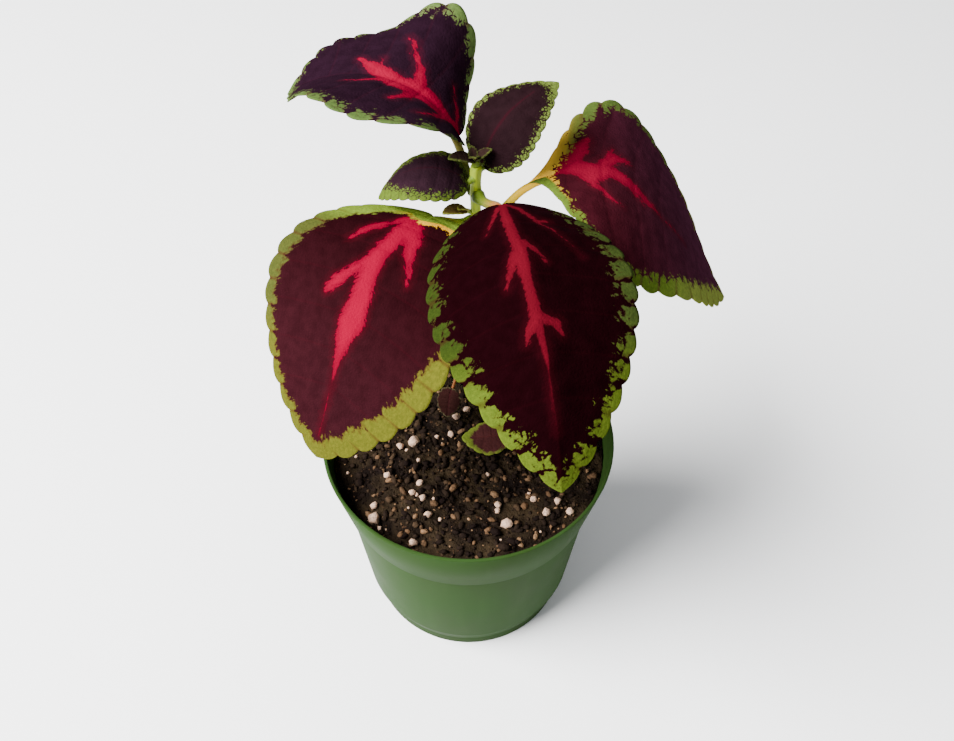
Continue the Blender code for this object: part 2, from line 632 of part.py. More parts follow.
def make_shoot(name, shoot, look):
    """A bud on a short stalk with its smallest leaves, joined in one solid."""
    foot, top = np.array(shoot["foot"]), np.array(shoot["top"])
    wide, narrow = shoot["radii"]
    route = [foot + (top - foot) * t for t in (0, 0.4, 0.8, 1.0)]
    bud = add_solid(name, *swept_tube(route, [wide, wide * 0.9, narrow, narrow * 0.5], 8), look)
    leaflets = []
    for bearing, slope, tip_slope, length, width, height in shoot["leaflets"]:
        start = foot + (top - foot) * height
        parts = leaflet_solid(tuple(start), bearing, (slope, tip_slope), length, width)
        leaflets.append(add_solid(name + "_leaflet", *parts, look))
    boolean(bud, "UNION", leaflets)
    return bud


def main():
    clear_scene()
    green = material("pot_green_plastic", POT_GREEN)
    brown = material("potting_soil", SOIL_BROWN)
    fresh = material("stem_green", STEM_GREEN)
    maroon = material("leaf_maroon", LEAF_MAROON)
    make_pot(green)
    make_soil(brown)
    make_stem(fresh)
    for name, leaf in LEAVES.items():
        make_leaf(name, leaf, maroon)
    for name, shoot in SHOOTS.items():
        make_shoot(name, shoot, maroon)


main()
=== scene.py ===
"""
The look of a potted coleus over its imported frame: leaves, stem, soil and pot.

Places are in millimetres until they become meshes. A leaf is laid out flat, along and across
its midrib, and then bent. Its colours follow distances on the flat leaf.
"""
import math
import random

import bpy
import bmesh
import numpy as np
from mathutils import Matrix, Vector, noise


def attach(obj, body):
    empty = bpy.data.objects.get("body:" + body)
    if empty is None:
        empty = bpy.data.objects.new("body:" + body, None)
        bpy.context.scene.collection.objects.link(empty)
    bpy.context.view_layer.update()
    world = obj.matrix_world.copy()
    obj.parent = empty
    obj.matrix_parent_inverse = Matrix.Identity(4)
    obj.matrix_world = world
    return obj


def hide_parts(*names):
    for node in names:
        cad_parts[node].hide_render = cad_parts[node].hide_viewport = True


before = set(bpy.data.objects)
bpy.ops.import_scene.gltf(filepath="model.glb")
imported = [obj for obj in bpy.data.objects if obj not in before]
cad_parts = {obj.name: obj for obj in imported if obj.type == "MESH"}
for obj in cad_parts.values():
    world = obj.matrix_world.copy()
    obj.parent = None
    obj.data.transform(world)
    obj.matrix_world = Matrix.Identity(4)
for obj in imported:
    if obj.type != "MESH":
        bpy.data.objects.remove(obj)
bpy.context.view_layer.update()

MM = 0.001
BODY = "root"
SEED = 7

# Camera: its place, and its pitch and roll in degrees
CAMERA_PLACE = (2.8, -182.4, 324.4)
CAMERA_PITCH = 48.33
CAMERA_ROLL = 0.48
CAMERA_LENS = 32.08
CAMERA_SENSOR = 36
CAMERA_SIGHT = 20000

# Floor and light: a lamp has a name, a place, a diameter and its watts
FLOOR_REACH = 3000
FLOOR_HEIGHT = -0.2
LAMPS = [("window", (-1250, -420, 1350), 1500, 225), ("ceiling", (260, 120, 1500), 1200, 6)]
LAMP_AIM = (0, 10, 120)
SKY_COLOUR = (0.88, 0.93, 1, 1)
SKY_STRENGTH = 0.28

# Pot and soil, as in the frame
POT_HEIGHT = 87
RIM_RADIUS = 51
COLLAR_RADIUS = 46.5
COLLAR_HEIGHT = 63
COLLAR_SLOPE = 2
BODY_TOP_RADIUS = 45.6
BODY_LOW_RADIUS = 41.3
BODY_LOW_HEIGHT = 12.7
FOOT_RADIUS = 38.6
FOOT_HEIGHT = 5
WALL = 1.3
FLOOR_THICKNESS = 2.4
POT_SEGMENTS = 160
POT_SHARP_ANGLE = 38
DRAIN_HOLES = 6
DRAIN_HOLE_RADIUS = 3.5
DRAIN_HOLE_SEGMENTS = 32
DRAIN_CIRCLE_RADIUS = 27
SOIL_HEIGHT = 80
SOIL_EDGE_DROP = 1.6
SOIL_EDGE_POWER = 6
SOIL_SWELL = 0.7
SOIL_WAVES = ((0.13, 0.9), (0.11, -0.4), (0.31, -0.23, 0.6))
SOIL_CLEARANCE = 0.3
# The pot's outside as heights and radii, and its rounded edges: radius, height and small steps
POT_OUTSIDE = [
    (0, FOOT_RADIUS), (FOOT_HEIGHT, FOOT_RADIUS), (BODY_LOW_HEIGHT, BODY_LOW_RADIUS),
    (COLLAR_HEIGHT - COLLAR_SLOPE, BODY_TOP_RADIUS), (COLLAR_HEIGHT, COLLAR_RADIUS),
    (POT_HEIGHT, RIM_RADIUS),
]
POT_EDGES = [
    (FOOT_RADIUS, 0, [(-0.7, 0), (-0.2, 0.15), (0, 0.6)]),
    (FOOT_RADIUS, FOOT_HEIGHT, [(0.1, -0.3), (0.3, 0.2)]),
    (BODY_LOW_RADIUS, BODY_LOW_HEIGHT, [(-0.15, -0.5), (0, 0)]),
    (BODY_TOP_RADIUS, COLLAR_HEIGHT, [(0, -0.5), (0.25, -0.35)]),
    (COLLAR_RADIUS, COLLAR_HEIGHT, [(-0.2, -0.1), (0, 0.2)]),
    (RIM_RADIUS, POT_HEIGHT, [(-0.1, -0.4), (-0.2, -0.12), (-0.4, 0)]),
    (RIM_RADIUS - WALL, POT_HEIGHT, [(0.4, 0), (0.12, -0.12), (0, -0.4)]),
]
INSIDE_HEIGHTS = (COLLAR_HEIGHT, COLLAR_HEIGHT - COLLAR_SLOPE, BODY_LOW_HEIGHT, FOOT_HEIGHT)

# The soil's fine surface: lumps and pits, with their repeats per millimetre
SOIL_SEGMENTS = 230
SOIL_RINGS = 88
LUMP_HEIGHT = 0.75
LUMP_SCALE = 0.28
LUMP_LAYER = 1.7
LUMP_FRACTAL = (0.8, 2.1, 4)
PIT_DEPTH = 0.9
PIT_SCALE = 0.55
PIT_LAYER = 4.2
PIT_LEVEL = 0.45

# Perlite beads: x, y, radius
PERLITE = [
    (-19.5, 0.6, 2.2), (-24.4, -1.2, 1.3), (-16.5, -17.3, 1.3), (-31.1, -31.4, 2.1),
    (-31.5, -26.4, 1.3), (-27.7, -14.6, 1.3), (-18.8, -21.4, 1.2), (-15.2, -23.9, 1.2),
    (-17.6, -40, 1.4), (-13.2, -30.1, 1.3), (-4.6, 11.6, 1.4), (-0.8, 15, 1.3),
    (-6.4, 3.9, 1.3), (10.3, -25.6, 1.3), (13.2, -32.9, 2), (26.3, -28.9, 1.5),
    (30.2, -24.6, 1.3), (34.4, -27.7, 1.5), (22.2, -23.5, 1.2),
]

# Scattered grains: a higher crowding makes more of them small. A crumb's shape is the least and
# the most of each of its radii; lift is how far a grain's centre is over the soil, in its radii
CRUMBS = dict(count=2300, smallest=0.35, largest=1.6, crowding=2.4)
CRUMB_SHAPE = ((0.8, 1.5), (0.6, 1), (0.4, 0.8))
CRUMB_LIFT = 0.3
CRUMB_TONES = 1.7
SMALL_BEADS = dict(count=34, smallest=0.3, largest=1, crowding=1.6)
SMALL_BEAD_LIFT = 0.4
BEAD_SHAPE = (1, 0.9, 0.85)
BEAD_LIFT = 0.55
GRAIN_TURN = 6.28
GRAIN_TILT = 0.6
GRAIN_LUMPS = 1.7
GRAIN_SHIFT = 50
WALL_GAP = 1.2
STEM_GAP = 0.4

# Stem
STEM_ROUTE = [(3, 26, 58.3), (3, 26, 104), (2.4, 25, 140), (2, 24.5, 161),
              (2, 24.5, 180.6)]
STEM_RADII = (2.6, 1.35)
STEM_TAPER = 0.8
STEM_SQUARENESS = 0.07
STEM_RINGS = 130
STEM_SIDES = 28
NODE_HEIGHTS = (104, 134, 161, 171, 178.5)
NODE_SWELL = 0.3
NODE_SPREAD = 2.2

# Fine down on stem and stalks
HAIR_LENGTH = 0.55
HAIR_LENGTHS = (0.6, 1.2)
HAIR_RADIUS = 0.035
HAIR_LEAN = 0.5
HAIR_ROOT = 0.1
STEM_HAIRS = 1500
STALK_HAIRS = 180
BUD_HAIRS = 160

# Leaves: the forms are those of the frame, with angles in degrees. Pairs are for the left and the
# right half. rim_left and rim_right are widths of the green margin from base to tip, and rag,
# speckle, blot, notch and net make its inner edge uneven: gap is how wide the notches are, cells
# how close the net. A stroke of the blaze has points with a radius, and barb is how far it frays.
# drift is how the field passes into its far colour, which on leaf_right is partly painted sheen; warm
# how far and how wide the margin's base is warm.
LARGE = dict(lobe=4, teeth=15, tooth=1.3, petiole=(1.5, 1.15), rows=225, columns=34, slot="leaf",
             laterals=7, thickness=0.62, gap=0.13, blot=1, barb=1.7, cells=0.42, net=0.4)
SMALL = dict(lobe=1.8, teeth=12, tooth=0.6, petiole=(0.9, 0.7), rows=156, columns=20, slot="young_leaf",
             laterals=6, thickness=0.55, gap=0.15, blot=0.7, barb=0.8, cells=0.8, net=1.4,
             rag=0.8, speckle=1.3)
TINY = dict(lobe=0.8, teeth=7, tooth=0.45, petiole=(0.8, 0.6), rows=91, columns=14, slot="young_leaf",
            laterals=5, thickness=0.5, gap=0.13, blot=0.2, barb=0.4, cells=1, net=0.2,
            rag=0.3, speckle=0.3, notch=0.3)
LEAVES = {}
LEAVES["leaf_front"] = dict(
    LARGE, node=171, leaves_stem=-65, base=(9.2, 9.2, 178.6),
    bearing=(-80, -77.5), slope=(19.5, -6, -36, -69), tilt=(1, 2),
    length=91, width=57, fullness=0.48, taper=0.84,
    fold=(-11, -17), curl=(-3, -22), wave=(-0.9, 0.8), wave_start=(0.12, 0.05),
    rim_left=(-1.5, 1, 5, 6, 5.8, 5.4, 4.6, 4.8, 4.8, 3.6),
    rim_right=(-1.5, 1.2, 4.4, 4.8, 5.2, 6.6, 6, 5.6, 5.4, 3.4),
    rag=1.3, speckle=0.8, notch=5.4, gap=0.2, blot=3.4, barb=1.1, cells=0.3, net=1.6,
    field=(17, 2, 4), green=(37, 47, 18), green_right=(28, 38, 10), green_tip=(57, 70, 18),
    blaze=(78, 9, 21),
    stalk=((80, 100, 18), (122, 64, 22)),
    strokes=[
        [(0, 0, 0.9), (10, -0.6, 1.4), (18.4, -0.6, 1.4), (24.6, 0, 1.8), (30.2, -0.5, 1.7),
         (35.9, -0.6, 1.2), (41.4, -0.3, 1.3), (45.9, -0.4, 1.8), (49.1, -0.3, 1), (56.2, 0, 0.5),
         (60, -0.1, 0.15), (66, -0.3, 0.25), (75, -0.2, 0)],
        [(0.2, 0.6, 0.8), (3.5, 4, 0.9), (10.8, 7.4, 0.7), (15.8, 10.8, 0.2), (21.3, 13.7, 0),
         (28.1, 16.4, -0.2)],
        [(2.6, -1.5, 0.9), (9.2, -4.6, 0.5), (14.3, -7.4, 0)],
        [(26.1, -1.4, 1.5), (31.9, -4.4, 0.8), (36.5, -6, 0.3)],
        [(21.5, 1.3, 1), (24.5, 3.4, 0.9), (29.6, 5.8, 0.3)],
        [(46, -0.3, 2), (47.1, 2.2, 1.2), (48.1, 4.2, 1.3), (51.3, 5.1, 0.3)],
        [(47.3, -0.9, 1.8), (49.8, -3, 0.9), (52.5, -4.1, 0.3)],
        [(10.8, 7.4, 0.8), (11.1, 10.7, 0.4)]])
LEAVES["leaf_left"] = dict(
    LARGE, node=161, leaves_stem=205, base=(-10.4, 18, 167.6),
    bearing=(-121, -124), slope=(27.5, -26, -57, -66), tilt=(3, 0.5),
    length=89, width=68, fullness=0.54, taper=0.76,
    fold=(-5, -2), curl=(5.5, -5), wave=(-1, -1.2), wave_start=(-0.02, 0.18),
    rim_left=(4, 10.5, 8, 3, 4, 6.2, 7, 7, 6.4, 5.4),
    rim_right=(6, 8.6, 8, 6, 5, 4.2, 4, 3.6, 4, 5.4),
    rag=1, speckle=0.4, notch=2.2, gap=0.1, blot=1.6,
    field=(27, 5, 8), field_far_and_sheen=(38, 12, 17), drift=(-0.3, 15, 70),
    green=(62, 64, 18), green_right=(50, 55, 22), green_base=(79, 98, 29), blaze=(107, 0, 29),
    warm=((0.22, 2.8), (0.13, 1.6)),
    stalk=((100, 126, 26), (146, 110, 16)),
    strokes=[
        [(2, -0.6, 1.8), (5.5, -1.4, 2.8), (16.5, -1.2, 3), (25, -2.4, 2.9), (31.4, -1.8, 3),
         (37.7, -0.4, 3.3), (45, 0, 4.2), (50.5, -0.4, 2.6), (55, -0.3, 1.4), (59.1, 0, 0.6),
         (64, 0.4, 0.15), (81.3, -0.5, 0)],
        [(6.9, -1.9, 2), (12.7, -6.6, 0.8), (15.7, -9.5, 1.6), (19.6, -12.1, 1),
         (22.9, -14.1, 0.4)],
        [(27.6, -3.7, 2.2), (31.8, -7.3, 1.5), (35.8, -9.8, 2.2), (38.6, -11, 1.6), (40.1, -11.5, 0.6)],
        [(12.4, 0, 3.9), (16.3, 3.6, 2.7), (20, 5.2, 1.9), (23.7, 7.5, 1), (27.6, 9.7, 0.6),
         (29.7, 10.5, 0.2)]])
LEAVES["leaf_right"] = dict(
    LARGE, node=161, leaves_stem=6, base=(16.7, 27.5, 172.2),
    bearing=(-1.2, 3.3), slope=(34.5, -26.5, -56, -46.5), tilt=(3, 1.5),
    length=93.4, width=69, lobe=0, fullness=0.44, taper=0.85, wedge=13.8,
    fold=(1, -4), curl=(10, -7.5), wave=(1.5, 2.9), wave_start=(-0.08, 0.07),
    rim_left=(9, 4.6, 5, 4.4, 3.2, 3.2, 2.8, 2.2, 1.8, 3),
    rim_right=(9, 4.4, 3.4, 3.4, 4.6, 6.2, 7.2, 7.4, 6.6, 4.6),
    rag=1.2, speckle=0.6, notch=3, gap=0.12, blot=2, net=1.6,
    # This field is painted lighter than the other leaves', and its far colour purple: partly the leaf's
    # own tone, partly painted light and painted sheen for a leaf that faces away from the lamp
    field=(44, 11, 18), field_far_and_sheen=(66, 31, 47), drift=(0.4, 15, 85),
    green=(58, 74, 31), green_right=(60, 77, 24), green_tip=(98, 109, 47),
    # The left half's warm base is painted much brighter than the usual warm colour: painted light on a
    # half that lies in shade
    blaze=(104, 10, 32), warm=((0.19, 12), (0.17, 1.2)), warm_left_painted_light=(255, 200, 66),
    stalk=((112, 126, 18), (178, 140, 8)),
    strokes=[
        [(9.7, 0, 0.8), (13.8, 5.5, 2.9), (17, 10.1, 2.9), (19.5, 14.2, 1)],
        [(9.4, 0.4, 0.8), (15.7, 2, 3.3), (20.8, 0.2, 3.8), (24.8, 2.9, 3), (27.6, 2, 2.5),
         (31.6, 0.7, 2), (35.8, -1.1, 1.7), (39.9, -3.5, 1.2), (43.1, -4.4, 0.6), (47, -5.2, 0.2),
         (60, -4.5, -0.1)],
        [(24, 4.9, 2), (28.4, 9.4, 1.9), (32.2, 9.8, 1), (33.4, 9.5, 0.3)],
        [(26, 9.3, 1), (27.4, 12.6, 0.4)],
        [(19.3, -2, 2.6), (20.6, -4.9, 1.3), (23.2, -6.5, 0.9), (26.3, -9.8, 0.5),
         (29.6, -10.8, 0.2)],
        [(28.4, 1.6, 1.8), (33, -2, 0.8), (37.5, -5.4, 0.3)]])
LEAVES["leaf_back"] = dict(
    LARGE, node=171, leaves_stem=112, base=(-3.2, 38.1, 181.6),
    bearing=(156, 156.5), slope=(59, 12.5, -19, -32.5), tilt=(24, -17),
    length=66.5, width=62.7, lobe=1, fullness=0.44, taper=0.92,
    fold=(15.5, 10), curl=(-13.5, 11.5), wave=(-3.5, 7.5), wave_start=(-0.22, -0.24),
    rim_left=(-1, -0.4, 1.4, 3.4, 4, 4, 3.4, 3, 3, 4.2),
    rim_right=(-1, 1.4, 3.4, 4.2, 4, 2.2, 0.9, 0.7, 0.9, 3.4),
    rag=1.2, speckle=1, notch=3.4, gap=0.17, blot=2.4, cells=0.55, net=1.5,
    field=(27, 12, 22), green=(53, 70, 33), green_right=(64, 82, 41), blaze=(116, 5, 34),
    stalk=((72, 88, 28), (92, 84, 30)),
    strokes=[
        [(0.5, 0, 1), (4.2, 1, 3), (9.1, 3, 5.4), (14.5, 2, 6.2), (19, 1.6, 5.8),
         (23.3, 1.8, 5), (29, -0.9, 3.3), (32.7, -2.8, 2.6), (36.9, -5.1, 1.4), (40.5, -7.2, 0.5)],
        [(18.8, -4, 2.1), (20.9, -8.4, 1.2), (22.9, -10.7, 0.7), (25.5, -13.8, 0.8), (27, -16.6, 0.5),
         (29.4, -18.3, 0.2)],
        [(27.2, 3.2, 1.4), (29.3, 5.9, 1), (31.7, 8.6, 0.6), (35.6, 10.9, 0.2)],
        [(17.5, 6, 1.8), (17.7, 10.5, 1.2), (18.9, 14.4, 0.6), (20.1, 17, 0.2)],
        [(7.5, 5.8, 1.5), (9.6, 13.5, 0.5), (12.6, 20, 0.2)],
        [(1.3, -0.3, 0.8), (5.1, -6.8, 0.7), (8.9, -11.6, 0.3), (10.9, -13.8, 0.1)],
        [(32.7, -4.1, 0.9), (32.8, -8.5, 0.2)]])
LEAVES["leaf_upper_right"] = dict(
    SMALL, node=178.5, leaves_stem=51, base=(3.8, 27, 178.8),
    bearing=(36, 34.5), slope=(82, 48, 18, -6.5), tilt=(6.5, -2.5),
    length=35.8, width=25.2, fullness=0.48, taper=0.85,
    fold=(-7, -11), curl=(1, -15), wave=(-0.5, -0.1), wave_start=(0.12, -0.05),
    rim_left=(1.2, 1.6, 2, 2.1, 2.1, 2.1, 2.8, 5.4),
    rim_right=(1.3, 1.8, 2.1, 2.2, 2.2, 2.2, 2.8, 5.4),
    notch=1.2, blot=1.4, net=1.8,
    field=(25, 13, 16), green=(69, 83, 34), blaze=(38, 13, 19),
    stalk=((100, 122, 30), (104, 116, 42)),
    strokes=[[(1, 0, 0.3), (14, 0, 0.45), (27, 0, 0.15)]])
LEAVES["leaf_upper_left"] = dict(
    SMALL, node=176.5, leaves_stem=217, base=(-0.4, 22.5, 176.6),
    bearing=(178.5, 174), slope=(46, 2.5, -35.5, -68), tilt=(-1, 2),
    length=32.7, width=24.3, fullness=0.49, taper=0.81,
    fold=(-7, -7), curl=(-12, -6.5), wave=(-0.1, 0.5), wave_start=(0, 0.07),
    rim_left=(1.6, 2.4, 2.8, 3, 3.4, 4.4, 5.4, 6),
    rim_right=(0.2, 2.6, 3.8, 4.2, 4.4, 4.6, 5.2, 6),
    notch=1.6, blot=1.8, net=2,
    field=(34, 19, 26), green=(59, 74, 23), blaze=(42, 18, 26),
    stalk=((100, 124, 28), (104, 122, 32)),
    strokes=[[(1, 0, 0.2), (12, 0, 0.3), (20, 0, 0.1)]])
LEAVES["leaf_low_left"] = dict(
    TINY, node=104, leaves_stem=225, base=(-6.1, 13.9, 94.2),
    bearing=(-115, -100), slope=(-45, -60, -70, -60), tilt=(0, 0),
    length=11.5, width=9, fullness=0.5, taper=0.75,
    fold=(10, 10), curl=(-30, -30), wave=(0, 0), wave_start=(0, 0),
    rim_left=(0.2, 0.4, 0.5, 0.6), rim_right=(0.2, 0.4, 0.5, 0.6),
    notch=0.2,
    field=(42, 22, 20), green=(66, 66, 44), blaze=(52, 22, 24),
    stalk=((118, 88, 34), (108, 58, 26)),
    strokes=[[(0.5, 0, 0.3), (8, 0, 0.15)]])
LEAVES["leaf_low_front"] = dict(
    TINY, node=104, leaves_stem=-60, base=(14, -2.6, 89.5),
    bearing=(190, 172), slope=(-6, -8, -6, -4), tilt=(0, 8),
    length=16.5, width=15, fullness=0.5, taper=0.78,
    fold=(8, 8), curl=(-25, -20), wave=(0.3, 0.3), wave_start=(0, 0.3),
    rim_left=(0.6, 0.8, 1.6, 4.2), rim_right=(0.6, 0.9, 1.8, 4.2),
    rag=0.5,
    field=(68, 36, 36), green=(84, 98, 34), blaze=(80, 40, 40),
    stalk=((104, 110, 34), (112, 74, 40)),
    strokes=[[(0.5, 0, 0.4), (12, 0, 0.2)]])
WAVES_PER_BLADE = 1.5
LEAST_CURL = 1e-3
NOTCH_WIDTH = 4
PLAIN_MARGIN = 0.17
TOOTH_LEAN = 1.3
TOOTH_ROUNDNESS = 0.7
TOOTH_ROOT = 0.55
MARGIN_SAMPLES = 900
SAMPLE_CROWDING = 1.6
# The midrib's line is found from a little behind the base to a little past the tip
MIDRIB_SPAN = (-0.15, 1.02)

# The fine blade. Its relief is given for a blade of the measured length, and fades at the flat edge
ROW_CROWDING = 1.3
COLUMN_CROWDING = 0.92
MEASURED_LENGTH = 90
MID_GROOVE = 0.22
VEIN_GROOVE = 0.12
VEIN_WIDTH = 0.75
SWELL_BETWEEN = 0.16
SWELL_RISE = 3.2
PUCKER = 0.32
PUCKER_SCALE = 0.2
PUCKER_LAYER = 7
FLAT_EDGE = 4
THIN_EDGE = 3
EDGE_THICKNESS = 0.5
WARM_FADE = 0.6

# Side veins, as shares: first foot, spread and crowding along the midrib, first end and spread
# along the margin, how near they come to it, and where they bend
VEIN_FEET = (0.03, 0.82, 1.05)
VEIN_ENDS = (0.2, 0.66)
VEIN_REACH = 0.97
VEIN_BEND = (0.42, 0.55)
VEIN_SWEEP = 0.03
VEIN_POINTS = 7

# Stalks, which run on as ribs under the blades
STALK_RINGS = 22
STALK_SIDES = 14
STALK_SEAT = 0.3
STALK_GRAIN = 0.05
STALK_TURN = 0.05
STALK_FLARE = 0.45
STALK_FLARE_REACH = 0.12
PETIOLE_PULL = 0.38
RIB_RINGS = 30
RIB_REACH = 0.9
RIB_END_RADIUS = 0.2
RIB_TAPER = 0.6
RIB_DEPTH = 0.75

# Shoots: a bud on a short stalk. Leaflets: bearing, slope at base and tip, length, width, and
# height on the bud
SHOOTS = {
    "shoot_tip": dict(
        seed=20, foot=(2.0, 24.5, 180.9), top=(1.2, 24.1, 183.6), radii=(1.25, 0.9),
        field=(40, 28, 24), green=(60, 72, 28), blaze=(44, 22, 24),
        leaflets=[(196, 42, -12, 8.4, 5.6, 0.55), (12, 50, 10, 6.2, 4.2, 0.6),
                  (104, 55, 25, 4.0, 3.0, 0.8), (-80, 55, 20, 4.6, 3.2, 0.8)]),
    "shoot_axil": dict(
        seed=30, foot=(0.35, 22.9, 165.4), top=(-1.4, 21.4, 167.2), radii=(0.7, 0.6),
        # These colours are much lighter than the tip's: partly the leaflets' own olive brown, partly
        # painted light that lifts them out of the shade of the leaves above
        field=(98, 80, 42), green=(120, 128, 50), blaze=(100, 76, 40),
        leaflets=[(200, 35, -25, 8.0, 5.4, 0.6), (240, 60, 10, 5.5, 3.4, 0.7)]),
}
LEAFLET = dict(TINY, lobe=0.0, fullness=0.45, taper=0.7, tooth=0.18, rows=70, columns=10, tilt=(0, 0),
               fold=(12, 12), curl=(-15, -15), wave=(0, 0), wave_start=(0, 0), laterals=4,
               rim_left=(0.2, 0.3, 0.3, 0.6), rim_right=(0.2, 0.3, 0.3, 0.6), rag=0.25, speckle=0.25,
               notch=0.1, net=0.1)
LEAFLET_BLAZE_REACH = 0.6
BUD_RINGS = 9
BUD_SIDES = 16
BUD_END = 0.85
BUD_END_WIDTH = 0.6

# Colours are 8 bit display values. A finish has layers of noise, each with its repeats per metre,
# detail, roughness and squash along z. A coat is a layer's number, the two values between which it
# comes in, its share and its colour. relief is how much each layer counts in the raised surface,
# raise_by its strength and depth. Where dull is given, roughness goes to it with the first layer.
PLAIN = dict(layers=[], coats=[], relief=(), roughness=0.6, specular=0.5)
FINISHES = {
    "pot_plastic": dict(
        colour=(34, 52, 20), layers=[(38, 3, 0.5, 1), (160, 2, 0.5, 0.08), (1500, 2, 0.5, 1)],
        coats=[(0, -0.5, 0.5, 1, (38, 60, 27)), (1, 0, 0.7, 0.25, (46, 68, 34))],
        relief=(0, 0.6, 1), raise_by=(0.12, 0.1), roughness=0.42, dull=0.56, specular=0.008),
    "potting_soil": dict(
        colour=(16, 11, 9), layers=[(120, 3, 0.5, 1), (620, 3, 0.6, 1), (2200, 2, 0.5, 1)],
        coats=[(0, -0.4, 0.5, 1, (43, 34, 23)), (1, 0.2, 0.5, 1, (58, 40, 27)),
               (2, 0.42, 0.6, 1, (104, 74, 50))],
        relief=(0, 1, 0.5), raise_by=(0.8, 0.8), roughness=0.9, specular=0.02),
    "bark_crumbs": dict(
        layers=[(1400, 3, 0.5, 1)], coats=[(0, -0.3, 0.5, 0.5, (22, 15, 13))],
        relief=(1,), raise_by=(0.6, 0.4), roughness=0.88, specular=0.02),
    "perlite": dict(
        colour=(140, 112, 92), layers=[(1300, 3, 0.5, 1)],
        coats=[(0, -0.5, 0.3, 1, (196, 160, 134))],
        relief=(1,), raise_by=(0.5, 0.4), roughness=0.8, specular=0.5),
    "stem": dict(
        colour=(144, 160, 25), layers=[(90, 2, 0.5, 1), (1100, 3, 0.5, 0.25)],
        coats=[(0, -0.5, 0.5, 1, (136, 156, 34)), (1, 0.1, 0.6, 0.35, (76, 102, 26))],
        relief=(0, 1), raise_by=(0.25, 0.12), roughness=0.5, specular=0.1),
    "stalk": dict(
        layers=[(900, 3, 0.5, 1)], coats=[(0, 0, 1, 0.2, (170, 160, 110))],
        relief=(0.5,), raise_by=(0.3, 0.1), roughness=0.5, specular=0.1),
    "fine_down": dict(PLAIN, colour=(112, 120, 70)),
    "pale_floor": dict(PLAIN, colour=(251, 251, 251)),
}
CRUMB_COLOURS = [(0.0, (18, 12, 10)), (0.4, (32, 24, 18)), (0.65, (60, 46, 33)),
                 (0.85, (90, 66, 46)), (1.0, (126, 98, 72))]
BUD_COLOURS = ((100, 122, 30), (110, 124, 38))
WARM_COLOUR = (192, 134, 14)
UNDER_COLOUR = (92, 84, 68)
UNDER_RIB_COLOUR = (120, 112, 66)

# Noise on the flat leaf: repeats per millimetre, detail and roughness
LEAF_LAYER = 10.0
PATCH_NOISE = (0.33, 2.0, 0.5)
SPOT_NOISE = (0.9, 3.0, 0.6)
FINE_NOISE = (2.6, 2.0, 0.5)
FEATHER_NOISE = (0.8, 3.0, 0.6)
FEATHER_STRETCH = 0.3
BLOT_NOISE = (0.45, 1.0, 0.5)
NOTCH_NOISE = (0.16, 1.0, 0.5)
SKIN_SCALE = 0.85
SKIN_FINE = 0.25
SKIN_DEPTH = 0.35
# Strength of the relief and roughness
UPPER_SKIN = (0.35, 0.5)
UNDER_SKIN = (0.6, 0.7)

# Soft steps: as a value goes from the first number to the second, the result goes from 0, or the
# fourth, to 1, or the third
DULL_STEP = (-0.6, 0.6)
SIDE_STEP = (-3.0, 3.0)
RIM_STEP = (-0.3, 0.3)
NET_STEP = (0.14, 0.03)
NOTCH_STEP = (-0.25, 0.35, 1.3, 0.35)
BLAZE_STEP = (-0.25, 0.25)
BARB_STEP = (0.3, 1.8)
BARB_LEAST = 0.15
BARB_FINE = 0.3
RAG_DEPTH = 2.4
SPECKLE_DEPTH = 1.8
HEART_STEP = (0.0, 2.2)
HALO_STEP = (-2.6, 0.2, 0.45)
RED_VEIN_STEP = (0.6, 0.1, 0.08)
PATCH_STEP = (-0.5, 0.5, 0.9, 0.66)
PALE_SPOT_STEP = (-0.4, 0.6)
PALE_EDGE_STEP = (0.6, 0.1, 0.5)
RED_EDGE_STEP = (1.2, 0.0, 0.45)
RED_NOTCH_STEP = (0.3, 1.0, 0.5)
GREEN_TIP = (0.5, 0.75)
GREEN_BASE = (0.25, 0.1)
UNDER_RIB_STEP = (0.75, 0.25, 0.75)
SKIN_STEP = (0.0, 0.35, 0.5)
UNDER_FADE = 0.42
# Shares of the field and of the blaze in the reddish dark, and of the blaze in the deep pink
RED_DARK = (0.8, 0.16)
DEEP_PINK = 0.7
# How much brighter the margin's pale spots and edge are
PALER = (1.5, 1.4, 1.3, 1.0)
SHEEN = {"Sheen Weight": 0.002, "Sheen Roughness": 0.4, "Sheen Tint": (0.72, 0.66, 0.85, 1.0)}


def linear(colour):
    """An 8 bit display colour as linear values with alpha, by the sRGB curve."""
    values = []
    for part in colour:
        share = part / 255
        values.append(share / 12.92 if share <= 0.04045 else ((share + 0.055) / 1.055) ** 2.4)
    return (*values, 1.0)


